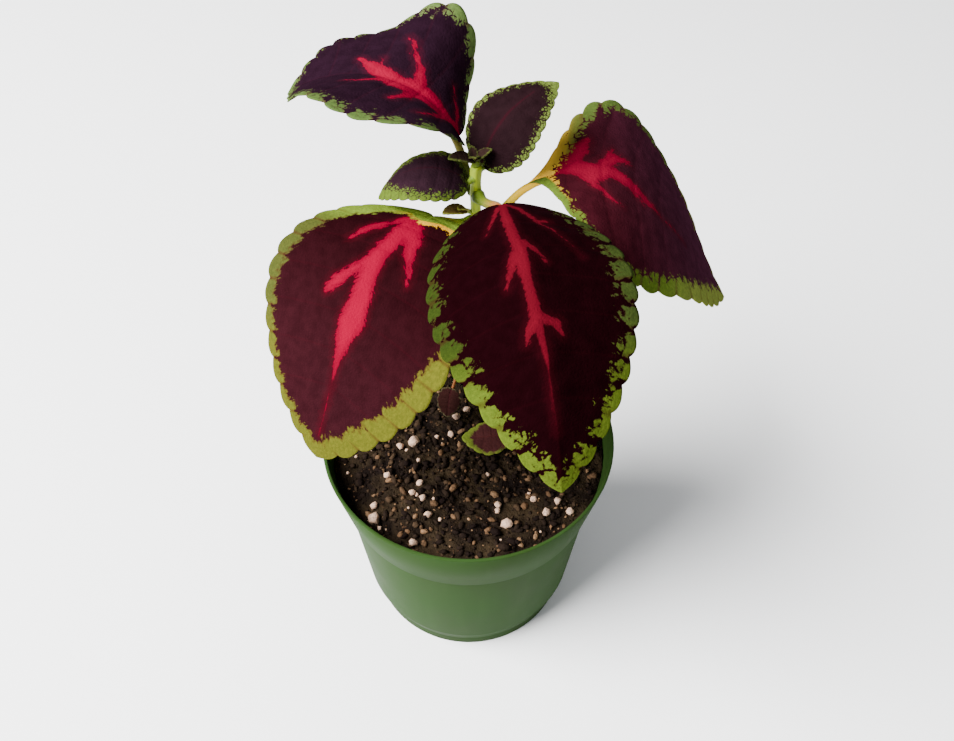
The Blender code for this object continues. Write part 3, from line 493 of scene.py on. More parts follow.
class Shader:
    """Builds one material's node tree in short calls."""

    def __init__(self, name):
        self.material = bpy.data.materials.new(name)
        self.material.use_nodes = True
        self.tree = self.material.node_tree
        self.surface = self.tree.nodes["Principled BSDF"]

    def node(self, kind, **inputs):
        made = self.tree.nodes.new("ShaderNode" + kind)
        for key, value in inputs.items():
            self.put(made.inputs[key], value)
        return made

    def put(self, socket, value):
        if hasattr(value, "links"):
            self.tree.links.new(value, socket)
        else:
            socket.default_value = value

    def set(self, name, value):
        self.put(self.surface.inputs[name], value)

    def field(self, name, vector=False):
        """A value kept at the piece's points."""
        made = self.node("Attribute")
        made.attribute_name = name
        return made.outputs["Vector" if vector else "Fac"]

    def math(self, operation, *values):
        made = self.node("Math")
        made.operation = operation
        for socket, value in zip(made.inputs, values):
            self.put(socket, value)
        return made.outputs[0]

    def step(self, value, low, high, to_high=1.0, to_low=0.0):
        """A soft step between two results, as a value goes from low to high."""
        made = self.node("MapRange")
        made.interpolation_type = "SMOOTHSTEP"
        for socket, number in zip(made.inputs[:5], (value, low, high, to_low, to_high)):
            self.put(socket, number)
        return made.outputs[0]

    def mix(self, share, first, second, blend="MIX"):
        made = self.node("Mix")
        made.data_type = "RGBA"
        made.blend_type = blend
        for socket, value in zip((made.inputs[0], *made.inputs[6:8]), (share, first, second)):
            self.put(socket, value)
        return made.outputs[2]

    def noise(self, place, scale, detail=2.0, rough=0.5, spread=1.0):
        """Noise centred on zero, times spread."""
        made = self.node("TexNoise", Vector=place, Scale=scale, Detail=detail, Roughness=rough)
        return self.math("MULTIPLY", self.math("SUBTRACT", made.outputs["Fac"], 0.5), 2 * spread)

    def cells(self, place, scale):
        """Distance from the borders of irregular cells."""
        made = self.node("TexVoronoi", Vector=place, Scale=scale)
        made.feature = "DISTANCE_TO_EDGE"
        return made.outputs["Distance"]

    def coat(self, colour, value, step, paint):
        """Lays paint over a colour where a value passes a soft step."""
        return self.mix(self.step(value, *step), colour, paint)

    def finish(self, colour, roughness, specular):
        self.set("Base Color", colour)
        self.set("Roughness", roughness)
        self.set("Specular IOR Level", specular)
        return self.material

    def relief(self, height, strength, depth):
        """Raises the surface by a height, where 1 stands for a depth in millimetres."""
        bump = self.node("Bump", Height=height, Strength=strength, Distance=depth * MM)
        self.set("Normal", bump.outputs[0])


def plain_material(kind, name=None, paint=None):
    """A finish from the table; paint, where given, makes its base colour."""
    look = FINISHES[kind]
    s = Shader(name or kind)
    here = s.node("TexCoord").outputs["Object"]
    layers = []
    for scale, detail, rough, squash in look["layers"]:
        place = s.node("Mapping", Vector=here, Scale=(1.0, 1.0, squash)).outputs[0]
        layers.append(s.noise(place, scale, detail, rough))
    colour = paint(s, layers[0]) if paint else linear(look["colour"])
    for layer, *step, coat in look["coats"]:
        colour = s.coat(colour, layers[layer], step, linear(coat))
    height = 0.0
    for layer, part in zip(layers, look["relief"]):
        height = s.math("MULTIPLY_ADD", layer, part, height)
    if layers:
        s.relief(height, *look["raise_by"])
    roughness = look["roughness"]
    if "dull" in look:
        roughness = s.step(layers[0], *DULL_STEP, look["dull"], roughness)
    return s.finish(colour, roughness, look["specular"])


def add_object(name, data):
    made = bpy.data.objects.new(name, data)
    bpy.context.scene.collection.objects.link(made)
    return made


def add_mesh(name, points, faces, materials, replaces=(), fields=None, face_slots=None):
    """A piece from points in millimetres, with its own values at the points."""
    mesh = bpy.data.meshes.new(name)
    mesh.from_pydata((np.asarray(points, float) * MM).tolist(), [], faces)
    for material in materials:
        mesh.materials.append(material)
    if face_slots is not None:
        mesh.polygons.foreach_set("material_index", face_slots)
    for key, values in (fields or {}).items():
        values = np.asarray(values, float)
        kind, entry = ("FLOAT", "value") if values.ndim == 1 else ("FLOAT_VECTOR", "vector")
        layer = mesh.attributes.new(key, kind, "POINT")
        layer.data.foreach_set(entry, values.ravel())
    mesh.shade_smooth()
    piece = add_object(name, mesh)
    if replaces:
        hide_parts(*replaces)
    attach(piece, BODY)
    return piece


def ring(radius, height, segments, shift=0.0):
    """Places on a level circle, turned by a share of a segment."""
    angles = [math.tau * (i + shift) / segments for i in range(segments)]
    return [(radius * math.cos(angle), radius * math.sin(angle), height) for angle in angles]


def band(first, second, segments, inward=False):
    """Faces between two rings of points, given by their first points' numbers."""
    faces = []
    for i in range(segments):
        j = (i + 1) % segments
        if inward:
            faces.append((first + i, second + i, second + j, first + j))
        else:
            faces.append((first + i, first + j, second + j, second + i))
    return faces


def course(values, share):
    """A value along the leaf: the smooth curve through even steps from base to tip."""
    steps = np.linspace(0, 1, len(values))
    return np.polyval(np.polyfit(steps, values, len(values) - 1), share)


def leaf_directions(leaf, along):
    """Unit vectors at places along the midrib: forward, to the left, and up."""
    share = np.clip(along / leaf["length"], 0, 1)
    bearing = np.radians(course(leaf["bearing"], share))
    slope = np.radians(course(leaf["slope"], share))
    tilt = np.radians(course(leaf["tilt"], share))[..., None]
    run = np.cos(slope)
    forward = np.stack([run * np.cos(bearing), run * np.sin(bearing), np.sin(slope)], -1)
    level = np.stack([-np.sin(bearing), np.cos(bearing), 0 * bearing], -1)
    upright = np.cross(forward, level)
    left = level * np.cos(tilt) + upright * np.sin(tilt)
    up = upright * np.cos(tilt) - level * np.sin(tilt)
    return forward, left, up


def midrib(leaf, along):
    """Places on the midrib, found by adding up short steps from behind the base."""
    start, end = MIDRIB_SPAN
    steps = np.linspace(start, end, round(100 * (end - start)) + 1) * leaf["length"]
    forward = leaf_directions(leaf, steps)[0]
    hops = (forward[1:] + forward[:-1]) / 2 * np.diff(steps)[:, None]
    line = np.vstack([np.zeros(3), np.cumsum(hops, axis=0)])
    origin = [np.interp(0, steps, line[:, k]) for k in range(3)]
    line += np.array(leaf["base"]) - origin
    return np.stack([np.interp(along, steps, line[:, k]) for k in range(3)], -1)


def on_blade(leaf, along, across, lift):
    """Places on the bent blade, for flat ones given along and to the left of the midrib."""
    half = leaf["width"] / 2
    _, left, up = leaf_directions(leaf, along)
    is_left = across >= 0
    side = np.where(is_left, 1.0, -1.0)
    fold = np.radians(np.where(is_left, *leaf["fold"]))
    curl = np.radians(np.where(is_left, *leaf["curl"]))
    curl = np.where(np.abs(curl) < LEAST_CURL, LEAST_CURL, curl)
    share = np.abs(across) / half
    lean = fold + curl * share
    outward = half / curl * (np.sin(lean) - np.sin(fold))
    rise = half / curl * (np.cos(fold) - np.cos(lean))
    phase = WAVES_PER_BLADE * np.clip(along / leaf["length"], 0, 1)
    phase = phase + np.where(is_left, *leaf["wave_start"])
    rise = rise + np.where(is_left, *leaf["wave"]) * np.sin(math.tau * phase) * share ** 2
    place = midrib(leaf, along) + left * (side * outward)[..., None] + up * rise[..., None]
    normal = up * np.cos(lean)[..., None] - left * (side * np.sin(lean))[..., None]
    return place + normal * lift[..., None]


def half_width(leaf, share):
    """Half the blade's width at a share of its length, without its teeth."""
    full, taper = leaf["fullness"], leaf["taper"]
    peak = full / (full + taper)
    highest = peak ** full * (1 - peak) ** taper
    share = np.clip(share, 0, 1)
    wide = leaf["width"] / 2 * share ** full * (1 - share) ** taper / highest
    if "wedge" in leaf:
        # The blade widens slowly where it runs down its stalk
        wide = wide * (1 - np.exp(-(share * leaf["length"] / leaf["wedge"]) ** 2))
    return wide


def margin(leaf):
    """One side of the margin: shares of its run, flat places, and how near a notch is."""
    share = np.linspace(0, 1, MARGIN_SAMPLES) ** SAMPLE_CROWDING
    across = half_width(leaf, share)
    lobe = leaf["lobe"] * (1 - share) ** 4 * (1 - np.exp(-across / NOTCH_WIDTH))
    along = share * leaf["length"] - lobe
    run = np.concatenate([[0], np.cumsum(np.hypot(np.diff(along), np.diff(across)))])
    run /= run[-1]
    places = np.linspace(0, 1, leaf["rows"] + 1)
    x = np.interp(places, run, along)
    y = np.interp(places, run, across)
    dx, dy = np.gradient(x), np.gradient(y)
    size = np.hypot(dx, dy)
    phase = (places * leaf["teeth"]) % 1.0
    bulge = np.sin(math.pi * phase ** TOOTH_LEAN) ** TOOTH_ROUNDNESS - TOOTH_ROOT
    grow = np.clip(places / PLAIN_MARGIN - 0.5, 0, 1) * np.clip((1 - places) * leaf["teeth"], 0, 1)
    x = x - dy / size * leaf["tooth"] * bulge * grow
    y = y + dx / size * leaf["tooth"] * bulge * grow
    return places, x, y, np.exp(-(np.minimum(phase, 1 - phase) / leaf["gap"]) ** 2) * grow


def distance_to_line(points, line):
    """Distance from flat points to a broken line with radii; inside is negative."""
    nearest = np.full(len(points), np.inf)
    for start, end in zip(line, line[1:]):
        a, b = np.array(start[:2], float), np.array(end[:2], float)
        step = b - a
        share = np.clip((points - a) @ step / (step @ step), 0, 1)
        gap = np.linalg.norm(points - a - share[:, None] * step, axis=1)
        gap -= start[2] + (end[2] - start[2]) * share
        nearest = np.minimum(nearest, gap)
    return nearest


def distance_to_lines(points, lines):
    """Distance from flat points to the nearest of several broken lines."""
    return np.min([distance_to_line(points, line) for line in lines], axis=0)


def side_veins(leaf):
    """Curved side veins from the midrib to the margin, as flat broken lines."""
    _, x, y, _ = margin(leaf)
    first, spread, crowding = VEIN_FEET
    veins = []
    for i in range(leaf["laterals"]):
        share = i / leaf["laterals"]
        foot = leaf["length"] * (first + spread * share ** crowding)
        goal = int(len(x) * (VEIN_ENDS[0] + VEIN_ENDS[1] * share))
        end_x = VEIN_REACH * x[goal] + (1 - VEIN_REACH) * foot
        end_y = VEIN_REACH * y[goal]
        bend_x = foot + VEIN_BEND[0] * (end_x - foot) - VEIN_SWEEP * leaf["length"] * (1 - share)
        bend_y = VEIN_BEND[1] * end_y
        t = np.linspace(0, 1, VEIN_POINTS)
        along = (1 - t) ** 2 * foot + 2 * t * (1 - t) * bend_x + t * t * end_x
        across = 2 * t * (1 - t) * bend_y + t * t * end_y
        for side in (1, -1):
            veins.append(np.stack([along, side * across, 0 * t], -1))
    return veins


class LeafShader(Shader):
    """The shader of one face of a leaf, with places and noise on the flat leaf."""

    def __init__(self, name, leaf, seed):
        super().__init__(name)
        self.leaf = leaf
        flat = self.field("flat", vector=True)
        layer = LEAF_LAYER * seed
        self.spot = self.node("Mapping", Vector=flat, Location=(0, 0, layer)).outputs[0]
        self.fine = self.noise(self.spot, *FINE_NOISE)
        ways = self.node("SeparateXYZ", Vector=flat)
        self.along, self.across = ways.outputs["X"], ways.outputs["Y"]
        self.outward = self.math("ABSOLUTE", self.across)
        self.is_left = self.step(self.across, *SIDE_STEP)
        # Feathers stretch along the side veins
        over = self.math("SUBTRACT", self.along, self.outward)
        with_veins = self.math("MULTIPLY", self.math("ADD", self.along, self.outward), FEATHER_STRETCH)
        depth = self.math("MULTIPLY_ADD", self.is_left, LEAF_LAYER / 2, layer)
        streaks = self.node("CombineXYZ", X=over, Y=with_veins, Z=depth).outputs[0]
        self.feather = self.noise(streaks, *FEATHER_NOISE)


def rim_reach(s):
    """How far a place is inside the green margin, whose inner edge is ragged and notched."""
    leaf = s.leaf
    rim = s.math("MULTIPLY_ADD", s.feather, RAG_DEPTH * leaf["rag"], s.field("rim"))
    rim = s.math("MULTIPLY_ADD", s.fine, SPECKLE_DEPTH * leaf["speckle"], rim)
    rim = s.math("ADD", rim, s.noise(s.spot, *BLOT_NOISE, leaf["blot"]))
    net = s.step(s.cells(s.spot, leaf["cells"]), *NET_STEP, leaf["net"])
    depth = s.step(s.noise(s.spot, *NOTCH_NOISE), *NOTCH_STEP)
    notches = s.math("MULTIPLY", s.math("MULTIPLY", s.field("notch"), depth), leaf["notch"])
    return s.math("SUBTRACT", s.math("SUBTRACT", rim, net), notches)


def blaze_reach(s):
    """How far a place is inside the bright strokes, which fray away from the midrib."""
    barb = s.leaf["barb"]
    barbs = s.step(s.outward, *BARB_STEP, barb, BARB_LEAST * barb)
    blaze = s.math("MULTIPLY_ADD", s.feather, barbs, s.field("blaze"))
    return s.math("MULTIPLY_ADD", s.math("MULTIPLY", s.fine, BARB_FINE), barbs, blaze)


def field_colour(s, blaze, red_dark):
    """The dark field, patchy, and redder round the blaze and on the veins."""
    colour = linear(s.leaf["field"])
    # Where drift is given the field passes into a far colour, which on leaf_right is partly painted
    # sheen
    if "drift" in s.leaf:
        lean, low, high = s.leaf["drift"]
        way = s.math("MULTIPLY_ADD", s.across, lean, s.along)
        colour = s.mix(s.step(way, low, high), colour, linear(s.leaf["field_far_and_sheen"]))
    shade = s.step(s.noise(s.spot, *PATCH_NOISE), *PATCH_STEP)
    shade = s.node("CombineColor", Red=shade, Green=shade, Blue=shade).outputs[0]
    colour = s.mix(1.0, colour, shade, "MULTIPLY")
    colour = s.coat(colour, blaze, HALO_STEP, red_dark)
    return s.coat(colour, s.field("vein"), RED_VEIN_STEP, red_dark)


def margin_colour(s, rim, red_dark):
    """The green margin: paler in spots and at its edge, redder inside and at the notches."""
    leaf, length = s.leaf, s.leaf["length"]
    green = linear(leaf["green"])
    colour = s.mix(s.is_left, linear(leaf.get("green_right", leaf["green"])), green)
    near_tip = s.step(s.along, *(share * length for share in GREEN_TIP))
    colour = s.mix(near_tip, colour, linear(leaf.get("green_tip", leaf["green"])))
    if "green_base" in leaf:
        near_base = s.step(s.along, *(share * length for share in GREEN_BASE))
        colour = s.mix(near_base, colour, linear(leaf["green_base"]))
    pale = s.mix(1.0, colour, PALER, "MULTIPLY")
    colour = s.coat(colour, s.noise(s.spot, *SPOT_NOISE), PALE_SPOT_STEP, pale)
    colour = s.coat(colour, s.field("edge"), PALE_EDGE_STEP, pale)
    colour = s.coat(colour, rim, RED_EDGE_STEP, red_dark)
    colour = s.coat(colour, s.field("notch"), RED_NOTCH_STEP, red_dark)
    # A warm colour for the left half, where given, is painted light: brighter, to stand in for light
    # that half doesn't get
    warm = linear(leaf.get("warm_left_painted_light", WARM_COLOUR))
    return s.mix(s.field("warm"), colour, s.mix(s.is_left, linear(WARM_COLOUR), warm))


def leaf_material(name, leaf, seed, under):
    """The upper face of a leaf, or its paler underside with light ribs."""
    s = LeafShader(name, leaf, seed)
    rim, blaze = rim_reach(s), blaze_reach(s)
    dark, pink = linear(leaf["field"]), linear(leaf["blaze"])
    red_dark = (*(RED_DARK[0] * a + RED_DARK[1] * b for a, b in zip(dark[:3], pink[:3])), 1.0)
    deep_pink = (*(DEEP_PINK * part for part in pink[:3]), 1.0)
    heart = s.coat(deep_pink, blaze, HEART_STEP, pink)
    colour = s.coat(field_colour(s, blaze, red_dark), blaze, BLAZE_STEP, heart)
    colour = s.coat(colour, rim, RIM_STEP, margin_colour(s, rim, red_dark))
    if under:
        colour = s.mix(UNDER_FADE, colour, linear(UNDER_COLOUR))
        colour = s.coat(colour, s.field("vein"), UNDER_RIB_STEP, linear(UNDER_RIB_COLOUR))
    for key, value in SHEEN.items():
        s.set(key, value)
    skin = s.step(s.cells(s.spot, SKIN_SCALE), *SKIN_STEP)
    strength, roughness = UNDER_SKIN if under else UPPER_SKIN
    s.relief(s.math("MULTIPLY_ADD", s.fine, SKIN_FINE, skin), strength, SKIN_DEPTH)
    return s.finish(colour, roughness, 0.0)


def blade_layout(leaf):
    """Flat places of a blade: its base, rows from margin to margin, and its tip."""
    places, edge_x, edge_y, notch = margin(leaf)
    spread = np.linspace(-1, 1, 2 * leaf["columns"] + 1)
    spread = np.sign(spread) * np.abs(spread) ** COLUMN_CROWDING
    reach = np.abs(spread)
    spine = leaf["length"] * places ** ROW_CROWDING
    along = spine[1:-1, None] * (1 - reach) + edge_x[1:-1, None] * reach
    across = spread * edge_y[1:-1, None]
    rows = np.stack([along, across], -1).reshape(-1, 2)
    flat = np.vstack([[0.0, 0.0], rows, [leaf["length"], 0.0]])
    run = np.concatenate([[0.0], np.repeat(places[1:-1], len(spread)), [1.0]])
    cut = np.concatenate([[0.0], (notch[1:-1, None] * reach ** 2).ravel(), [0.0]])
    outline = np.stack([edge_x, edge_y, 0 * edge_x], -1)
    folded = np.stack([flat[:, 0], np.abs(flat[:, 1])], -1)
    to_edge = np.maximum(distance_to_line(folded, outline), 0)
    return flat, run, cut, to_edge


def blade_relief(leaf, flat, run, to_edge, veins, seed):
    """Height of the blade's middle over its bent form, and its thickness."""
    size = leaf["length"] / MEASURED_LENGTH
    depth = size ** 0.5
    mid = np.abs(flat[:, 1])
    inside = np.clip(to_edge / (FLAT_EDGE * size), 0, 1)
    between = 1 - np.exp(-(np.minimum(veins, mid) / (SWELL_RISE * size)) ** 2)
    relief = -VEIN_GROOVE * depth * np.exp(-(veins / (VEIN_WIDTH * depth)) ** 2) * inside
    relief -= MID_GROOVE * depth * np.exp(-(mid / (VEIN_WIDTH * depth)) ** 2) * (1 - run)
    relief += SWELL_BETWEEN * depth * between * inside
    layer = PUCKER_LAYER * seed
    rough = [noise.noise(Vector((a * PUCKER_SCALE, b * PUCKER_SCALE, layer))) for a, b in flat]
    relief += PUCKER * depth * np.array(rough) * inside
    full = np.clip(to_edge / (THIN_EDGE * size), 0, 1)
    return relief, leaf["thickness"] * (EDGE_THICKNESS + (1 - EDGE_THICKNESS) * full)


def blade_fields(leaf, flat, run, cut, to_edge, veins):
    """Values that the leaf's colours follow: distances in millimetres, and shares."""
    is_left = flat[:, 1] >= 0
    rims = [np.interp(run, np.linspace(0, 1, len(widths)), widths)
            for widths in (leaf["rim_left"], leaf["rim_right"])]
    rim = np.where(is_left, *rims) - to_edge
    warm = np.zeros(len(flat))
    if "warm" in leaf:
        (left_run, left_width), (right_run, right_width) = leaf["warm"]
        warm_run = np.where(is_left, left_run, right_run)
        outer = 1 - (rim - np.where(is_left, left_width, right_width)) / WARM_FADE
        warm = np.exp(-(run / warm_run) ** 4) * np.clip(outer, 0, 1)
    return dict(rim=rim, blaze=-distance_to_lines(flat, leaf["strokes"]),
                vein=np.minimum(veins, np.abs(flat[:, 1])), notch=cut, warm=warm, edge=to_edge)


def blade_faces(rows, width):
    """Faces of the upper side, the underside and the margin, with their materials."""
    last = 1 + rows * width
    ids = 1 + np.arange(rows * width).reshape(rows, width)
    quads = np.stack([ids[:-1, :-1], ids[1:, :-1], ids[1:, 1:], ids[:-1, 1:]], -1)
    upper = quads.reshape(-1, 4).tolist()
    near, far = ids[0].tolist(), ids[-1].tolist()
    upper += [[0, a, b] for a, b in zip(near, near[1:])]
    upper += [[a, last, b] for a, b in zip(far, far[1:])]
    below = last + 1
    under = [[v + below for v in reversed(face)] for face in upper]
    loop = [0] + ids[:, 0].tolist() + [last] + ids[::-1, -1].tolist()
    side = [[a, a + below, b + below, b] for a, b in zip(loop, loop[1:] + loop[:1])]
    return upper + under + side, [0] * len(upper) + [1] * len(under) + [0] * len(side)


def make_blade(name, leaf, seed, node):
    """A blade as a fine grid, with its veins sunk and its skin raised."""
    flat, run, cut, to_edge = blade_layout(leaf)
    veins = distance_to_lines(flat, side_veins(leaf))
    relief, thick = blade_relief(leaf, flat, run, to_edge, veins, seed)
    sides = [on_blade(leaf, flat[:, 0], flat[:, 1], relief + part * thick) for part in (0.5, -0.5)]
    fields = dict(flat=np.column_stack([flat, np.zeros(len(flat))]))
    fields.update(blade_fields(leaf, flat, run, cut, to_edge, veins))
    fields = {key: np.concatenate([values, values]) for key, values in fields.items()}
    faces, slots = blade_faces(leaf["rows"] - 1, 2 * leaf["columns"] + 1)
    looks = [leaf_material(name + end, leaf, seed, end == "_under") for end in ("_upper", "_under")]
    points = np.vstack(sides)
    add_mesh(name + "_blade", points, faces, looks, (node,), fields, slots)


def tube(points, radii, sides, squareness):
    """Points and faces of a capped tube, its rings carried without twist."""
    route = np.array(points, float)
    tangents = np.gradient(route, axis=0)
    tangents /= np.linalg.norm(tangents, axis=1)[:, None]
    # The first ring starts from any direction that isn't along the tube
    upright = abs(tangents[0][2]) > 0.9
    across = np.cross(tangents[0], (0.0, 1.0, 0.0) if upright else (0.3, 0.2, 0.9))
    verts, faces = [], []
    for place, tangent, radius in zip(route, tangents, radii):
        across = across - tangent * np.dot(across, tangent)
        across /= np.linalg.norm(across)
        upward = np.cross(tangent, across)
        for i in range(sides):
            angle = math.tau * i / sides
            reach = radius * (1 + squareness * math.cos(4 * angle))
            verts.append(place + reach * (math.cos(angle) * across + math.sin(angle) * upward))
    for row in range(len(route) - 1):
        faces += band(row * sides, (row + 1) * sides, sides)
    faces.append(list(reversed(range(sides))))
    faces.append([(len(route) - 1) * sides + i for i in range(sides)])
    return verts, faces


def stem_axis(height):
    x, y, z = zip(*STEM_ROUTE)
    return np.array([np.interp(height, z, x), np.interp(height, z, y), height])


def stem_radius(height):
    """The stem tapers upward and swells a little at each node."""
    low, high = STEM_ROUTE[0][2], STEM_ROUTE[-1][2]
    share = (height - low) / (high - low)
    thick, thin = STEM_RADII
    plain = thick + (thin - thick) * share ** STEM_TAPER
    swell = sum(math.exp(-((height - z) / NODE_SPREAD) ** 2) for z in NODE_HEIGHTS)
    return plain + NODE_SWELL * swell


def hairs(points, normals, draw, start):
    """Short hairs on the given points, each a three-sided spike."""
    verts, faces = [], []
    for point, normal in zip(points, normals):
        lean = Vector(normal) + Vector([draw.uniform(-HAIR_LEAN, HAIR_LEAN) for _ in range(3)])
        lean.normalize()
        side = lean.orthogonal().normalized()
        other = lean.cross(side)
        root = Vector(point) - lean * HAIR_ROOT
        first = start + len(verts)
        for i in range(3):
            angle = math.tau * i / 3
            verts.append(root + (side * math.cos(angle) + other * math.sin(angle)) * HAIR_RADIUS)
        verts.append(root + lean * HAIR_LENGTH * draw.uniform(*HAIR_LENGTHS))
        for i in range(3):
            faces.append((first + i, first + (i + 1) % 3, first + 3))
    return verts, faces


def add_downy_tube(name, node, looks, route, radii, sides, hair_count, squareness=0.0, reach=1.0):
    """A stalk or stem with its down, as one piece with two materials."""
    verts, faces = tube(route, radii, sides, squareness)
    shares = np.repeat(np.linspace(0, 1, len(route)), sides)
    draw = random.Random(SEED + len(name))
    skin = [Vector(v) for v in verts]
    axis = [Vector(p) for p in route]
    spots, normals = [], []
    for _ in range(hair_count):
        # Just short of the last ring
        place = draw.uniform(0, (len(route) - 1) * reach - 1e-6)
        row, part = int(place), place % 1
        low, high = skin[row * sides:], skin[(row + 1) * sides:]
        i = draw.randrange(sides)
        j = (i + 1) % sides
        spot = low[i].lerp(high[i], part).lerp(low[j].lerp(high[j], part), draw.random())
        spots.append(spot)
        normals.append((spot - axis[row].lerp(axis[row + 1], part)).normalized())
    more, spikes = hairs(spots, normals, draw, len(verts))
    slots = [0] * len(faces) + [1] * len(spikes)
    fields = dict(run=np.concatenate([shares, np.zeros(len(more))]))
    points = verts + [tuple(v) for v in more]
    add_mesh(name, points, faces + spikes, looks, (node,), fields, slots)


def stalk_material(name, near, far, share):
    """A stalk that changes colour from the stem to the blade, then keeps it along the rib."""
    def paint(s, grain):
        run = s.math("MULTIPLY_ADD", grain, STALK_GRAIN, s.field("run"))
        return s.mix(s.step(run, STALK_TURN, share), linear(near), linear(far))

    return plain_material("stalk", name, paint)


def make_stalk(name, leaf, down):
    thick, thin = leaf["petiole"]
    bearing = math.radians(leaf["leaves_stem"])
    outward = np.array([math.cos(bearing), math.sin(bearing), 0.0])
    start = stem_axis(leaf["node"]) + outward * (stem_radius(leaf["node"]) - STALK_SEAT)
    underside = leaf["thickness"] / 2 + MID_GROOVE * (leaf["length"] / MEASURED_LENGTH) ** 0.5

    def under_blade(along, radius):
        return on_blade(leaf, *np.array([[along], [0.0], [-underside - RIB_DEPTH * radius]]))[0]

    end = under_blade(0.0, thin)
    forward = leaf_directions(leaf, 0.0)[0]
    pull = PETIOLE_PULL * np.linalg.norm(end - start)
    handles = [start, start + outward * pull, end - forward * pull, end]
    route, radii = [], []
    for i in range(STALK_RINGS):
        t = i / STALK_RINGS
        weights = [(1 - t) ** 3, 3 * t * (1 - t) ** 2, 3 * t * t * (1 - t), t ** 3]
        route.append(sum(w * h for w, h in zip(weights, handles)))
        flare = STALK_FLARE * thick * math.exp(-(t / STALK_FLARE_REACH) ** 2)
        radii.append(thick + (thin - thick) * t + flare)
    for i in range(RIB_RINGS + 1):
        share = i / RIB_RINGS
        radius = thin + (RIB_END_RADIUS - thin) * share ** RIB_TAPER
        route.append(under_blade(share * RIB_REACH * leaf["length"], radius))
        radii.append(radius)
    reach = STALK_RINGS / len(route)
    looks = [stalk_material(name + "_stalk", *leaf["stalk"], reach), down]
    add_downy_tube(name + "_stalk", name, looks, route, radii, STALK_SIDES, STALK_HAIRS,
                   reach=reach)


def make_stem(down):
    heights = np.linspace(STEM_ROUTE[0][2], STEM_ROUTE[-1][2], STEM_RINGS)
    route = [stem_axis(z) for z in heights]
    radii = [stem_radius(z) for z in heights]
    add_downy_tube("stem_body", "stem", [plain_material("stem"), down], route, radii, STEM_SIDES,
                   STEM_HAIRS, squareness=STEM_SQUARENESS)


def make_shoot(name, shoot, down):
    foot, top = np.array(shoot["foot"]), np.array(shoot["top"])
    wide, narrow = shoot["radii"]
    route, radii = [], []
    for t in np.linspace(0, 1, BUD_RINGS):
        route.append(foot + (top - foot) * t)
        radii.append(wide + (narrow - wide) * t if t < BUD_END else narrow * BUD_END_WIDTH)
    looks = [stalk_material(name + "_bud", *BUD_COLOURS, 1.0), down]
    add_downy_tube(name + "_bud", name, looks, route, radii, BUD_SIDES, BUD_HAIRS)
    for i, (bearing, slope, tip_slope, length, width, height) in enumerate(shoot["leaflets"]):
        blaze = [(0.5, 0, 0.1), (length * LEAFLET_BLAZE_REACH, 0, 0.05)]
        leaf = dict(LEAFLET, base=tuple(foot + (top - foot) * height), bearing=(bearing, bearing),
                    slope=(slope, tip_slope), length=length, width=width, strokes=[blaze],
                    field=shoot["field"], green=shoot["green"], blaze=shoot["blaze"])
        make_blade(f"{name}_leaflet_{i + 1}", leaf, shoot["seed"] + i, name)


def inner_radius(height):
    """The pot's inner radius: the outside less the wall."""
    heights, radii = zip(*POT_OUTSIDE)
    return float(np.interp(height, heights, radii)) - WALL


def turned(profile, segments):
    """Points and faces of a solid turned from a profile that starts and ends on the axis."""
    points = [(0.0, 0.0, profile[0][1])]
    for radius, height in profile[1:-1]:
        points += ring(radius, height, segments)
    points.append((0.0, 0.0, profile[-1][1]))
    last = len(points) - 1
    top = last - segments
    faces = [(0, 1 + (i + 1) % segments, 1 + i) for i in range(segments)]
    for row in range(len(profile) - 3):
        faces += band(1 + row * segments, 1 + (row + 1) * segments, segments)
    faces += [(top + i, top + (i + 1) % segments, last) for i in range(segments)]
    return points, faces


def make_pot():
    """A turned pot, with drain holes cut through its floor."""
    outside = [(radius + out, height + up) for radius, height, steps in POT_EDGES for out, up in steps]
    inside = [(inner_radius(z), z) for z in (*INSIDE_HEIGHTS, FLOOR_THICKNESS)]
    profile = [(0, 0)] + outside + inside + [(0, FLOOR_THICKNESS)]
    points, faces = turned(profile, POT_SEGMENTS)
    pot = add_mesh("pot_shell", points, faces, [plain_material("pot_plastic")], ("pot",))
    drills = []
    for x, y, height in ring(DRAIN_CIRCLE_RADIUS, FLOOR_THICKNESS / 2, DRAIN_HOLES, 0.5):
        bpy.ops.mesh.primitive_cylinder_add(
            vertices=DRAIN_HOLE_SEGMENTS, radius=DRAIN_HOLE_RADIUS * MM, depth=4 * FLOOR_THICKNESS * MM,
            location=(x * MM, y * MM, height * MM))
        drill = bpy.context.object
        cut = pot.modifiers.new("drain", "BOOLEAN")
        cut.object = drill
        drills.append(drill)
    view = bpy.context.evaluated_depsgraph_get()
    finished = bpy.data.meshes.new_from_object(pot.evaluated_get(view))
    pot.modifiers.clear()
    pot.data = finished
    for drill in drills:
        bpy.data.objects.remove(drill, do_unlink=True)
    finished.shade_smooth()
    finished.set_sharp_from_angle(angle=math.radians(POT_SHARP_ANGLE))


def soil_level(x, y):
    """The soil's slightly uneven surface, a little lower along the pot's wall."""
    (a, b), (c, d), (e, f, ripple) = SOIL_WAVES
    swell = math.sin(a * x + b) * math.cos(c * y + d) + ripple * math.sin(e * x + f * y)
    edge = (math.hypot(x, y) / inner_radius(SOIL_HEIGHT)) ** SOIL_EDGE_POWER
    return SOIL_HEIGHT + SOIL_SWELL * swell - SOIL_EDGE_DROP * edge


def crumbled_level(x, y):
    """The soil surface with its crumbs and pits."""
    lumps = noise.fractal(Vector((x * LUMP_SCALE, y * LUMP_SCALE, LUMP_LAYER)), *LUMP_FRACTAL)
    gaps, _ = noise.voronoi(Vector((x * PIT_SCALE, y * PIT_SCALE, PIT_LAYER)))
    return soil_level(x, y) + LUMP_HEIGHT * lumps + PIT_DEPTH * (PIT_LEVEL - gaps[0])


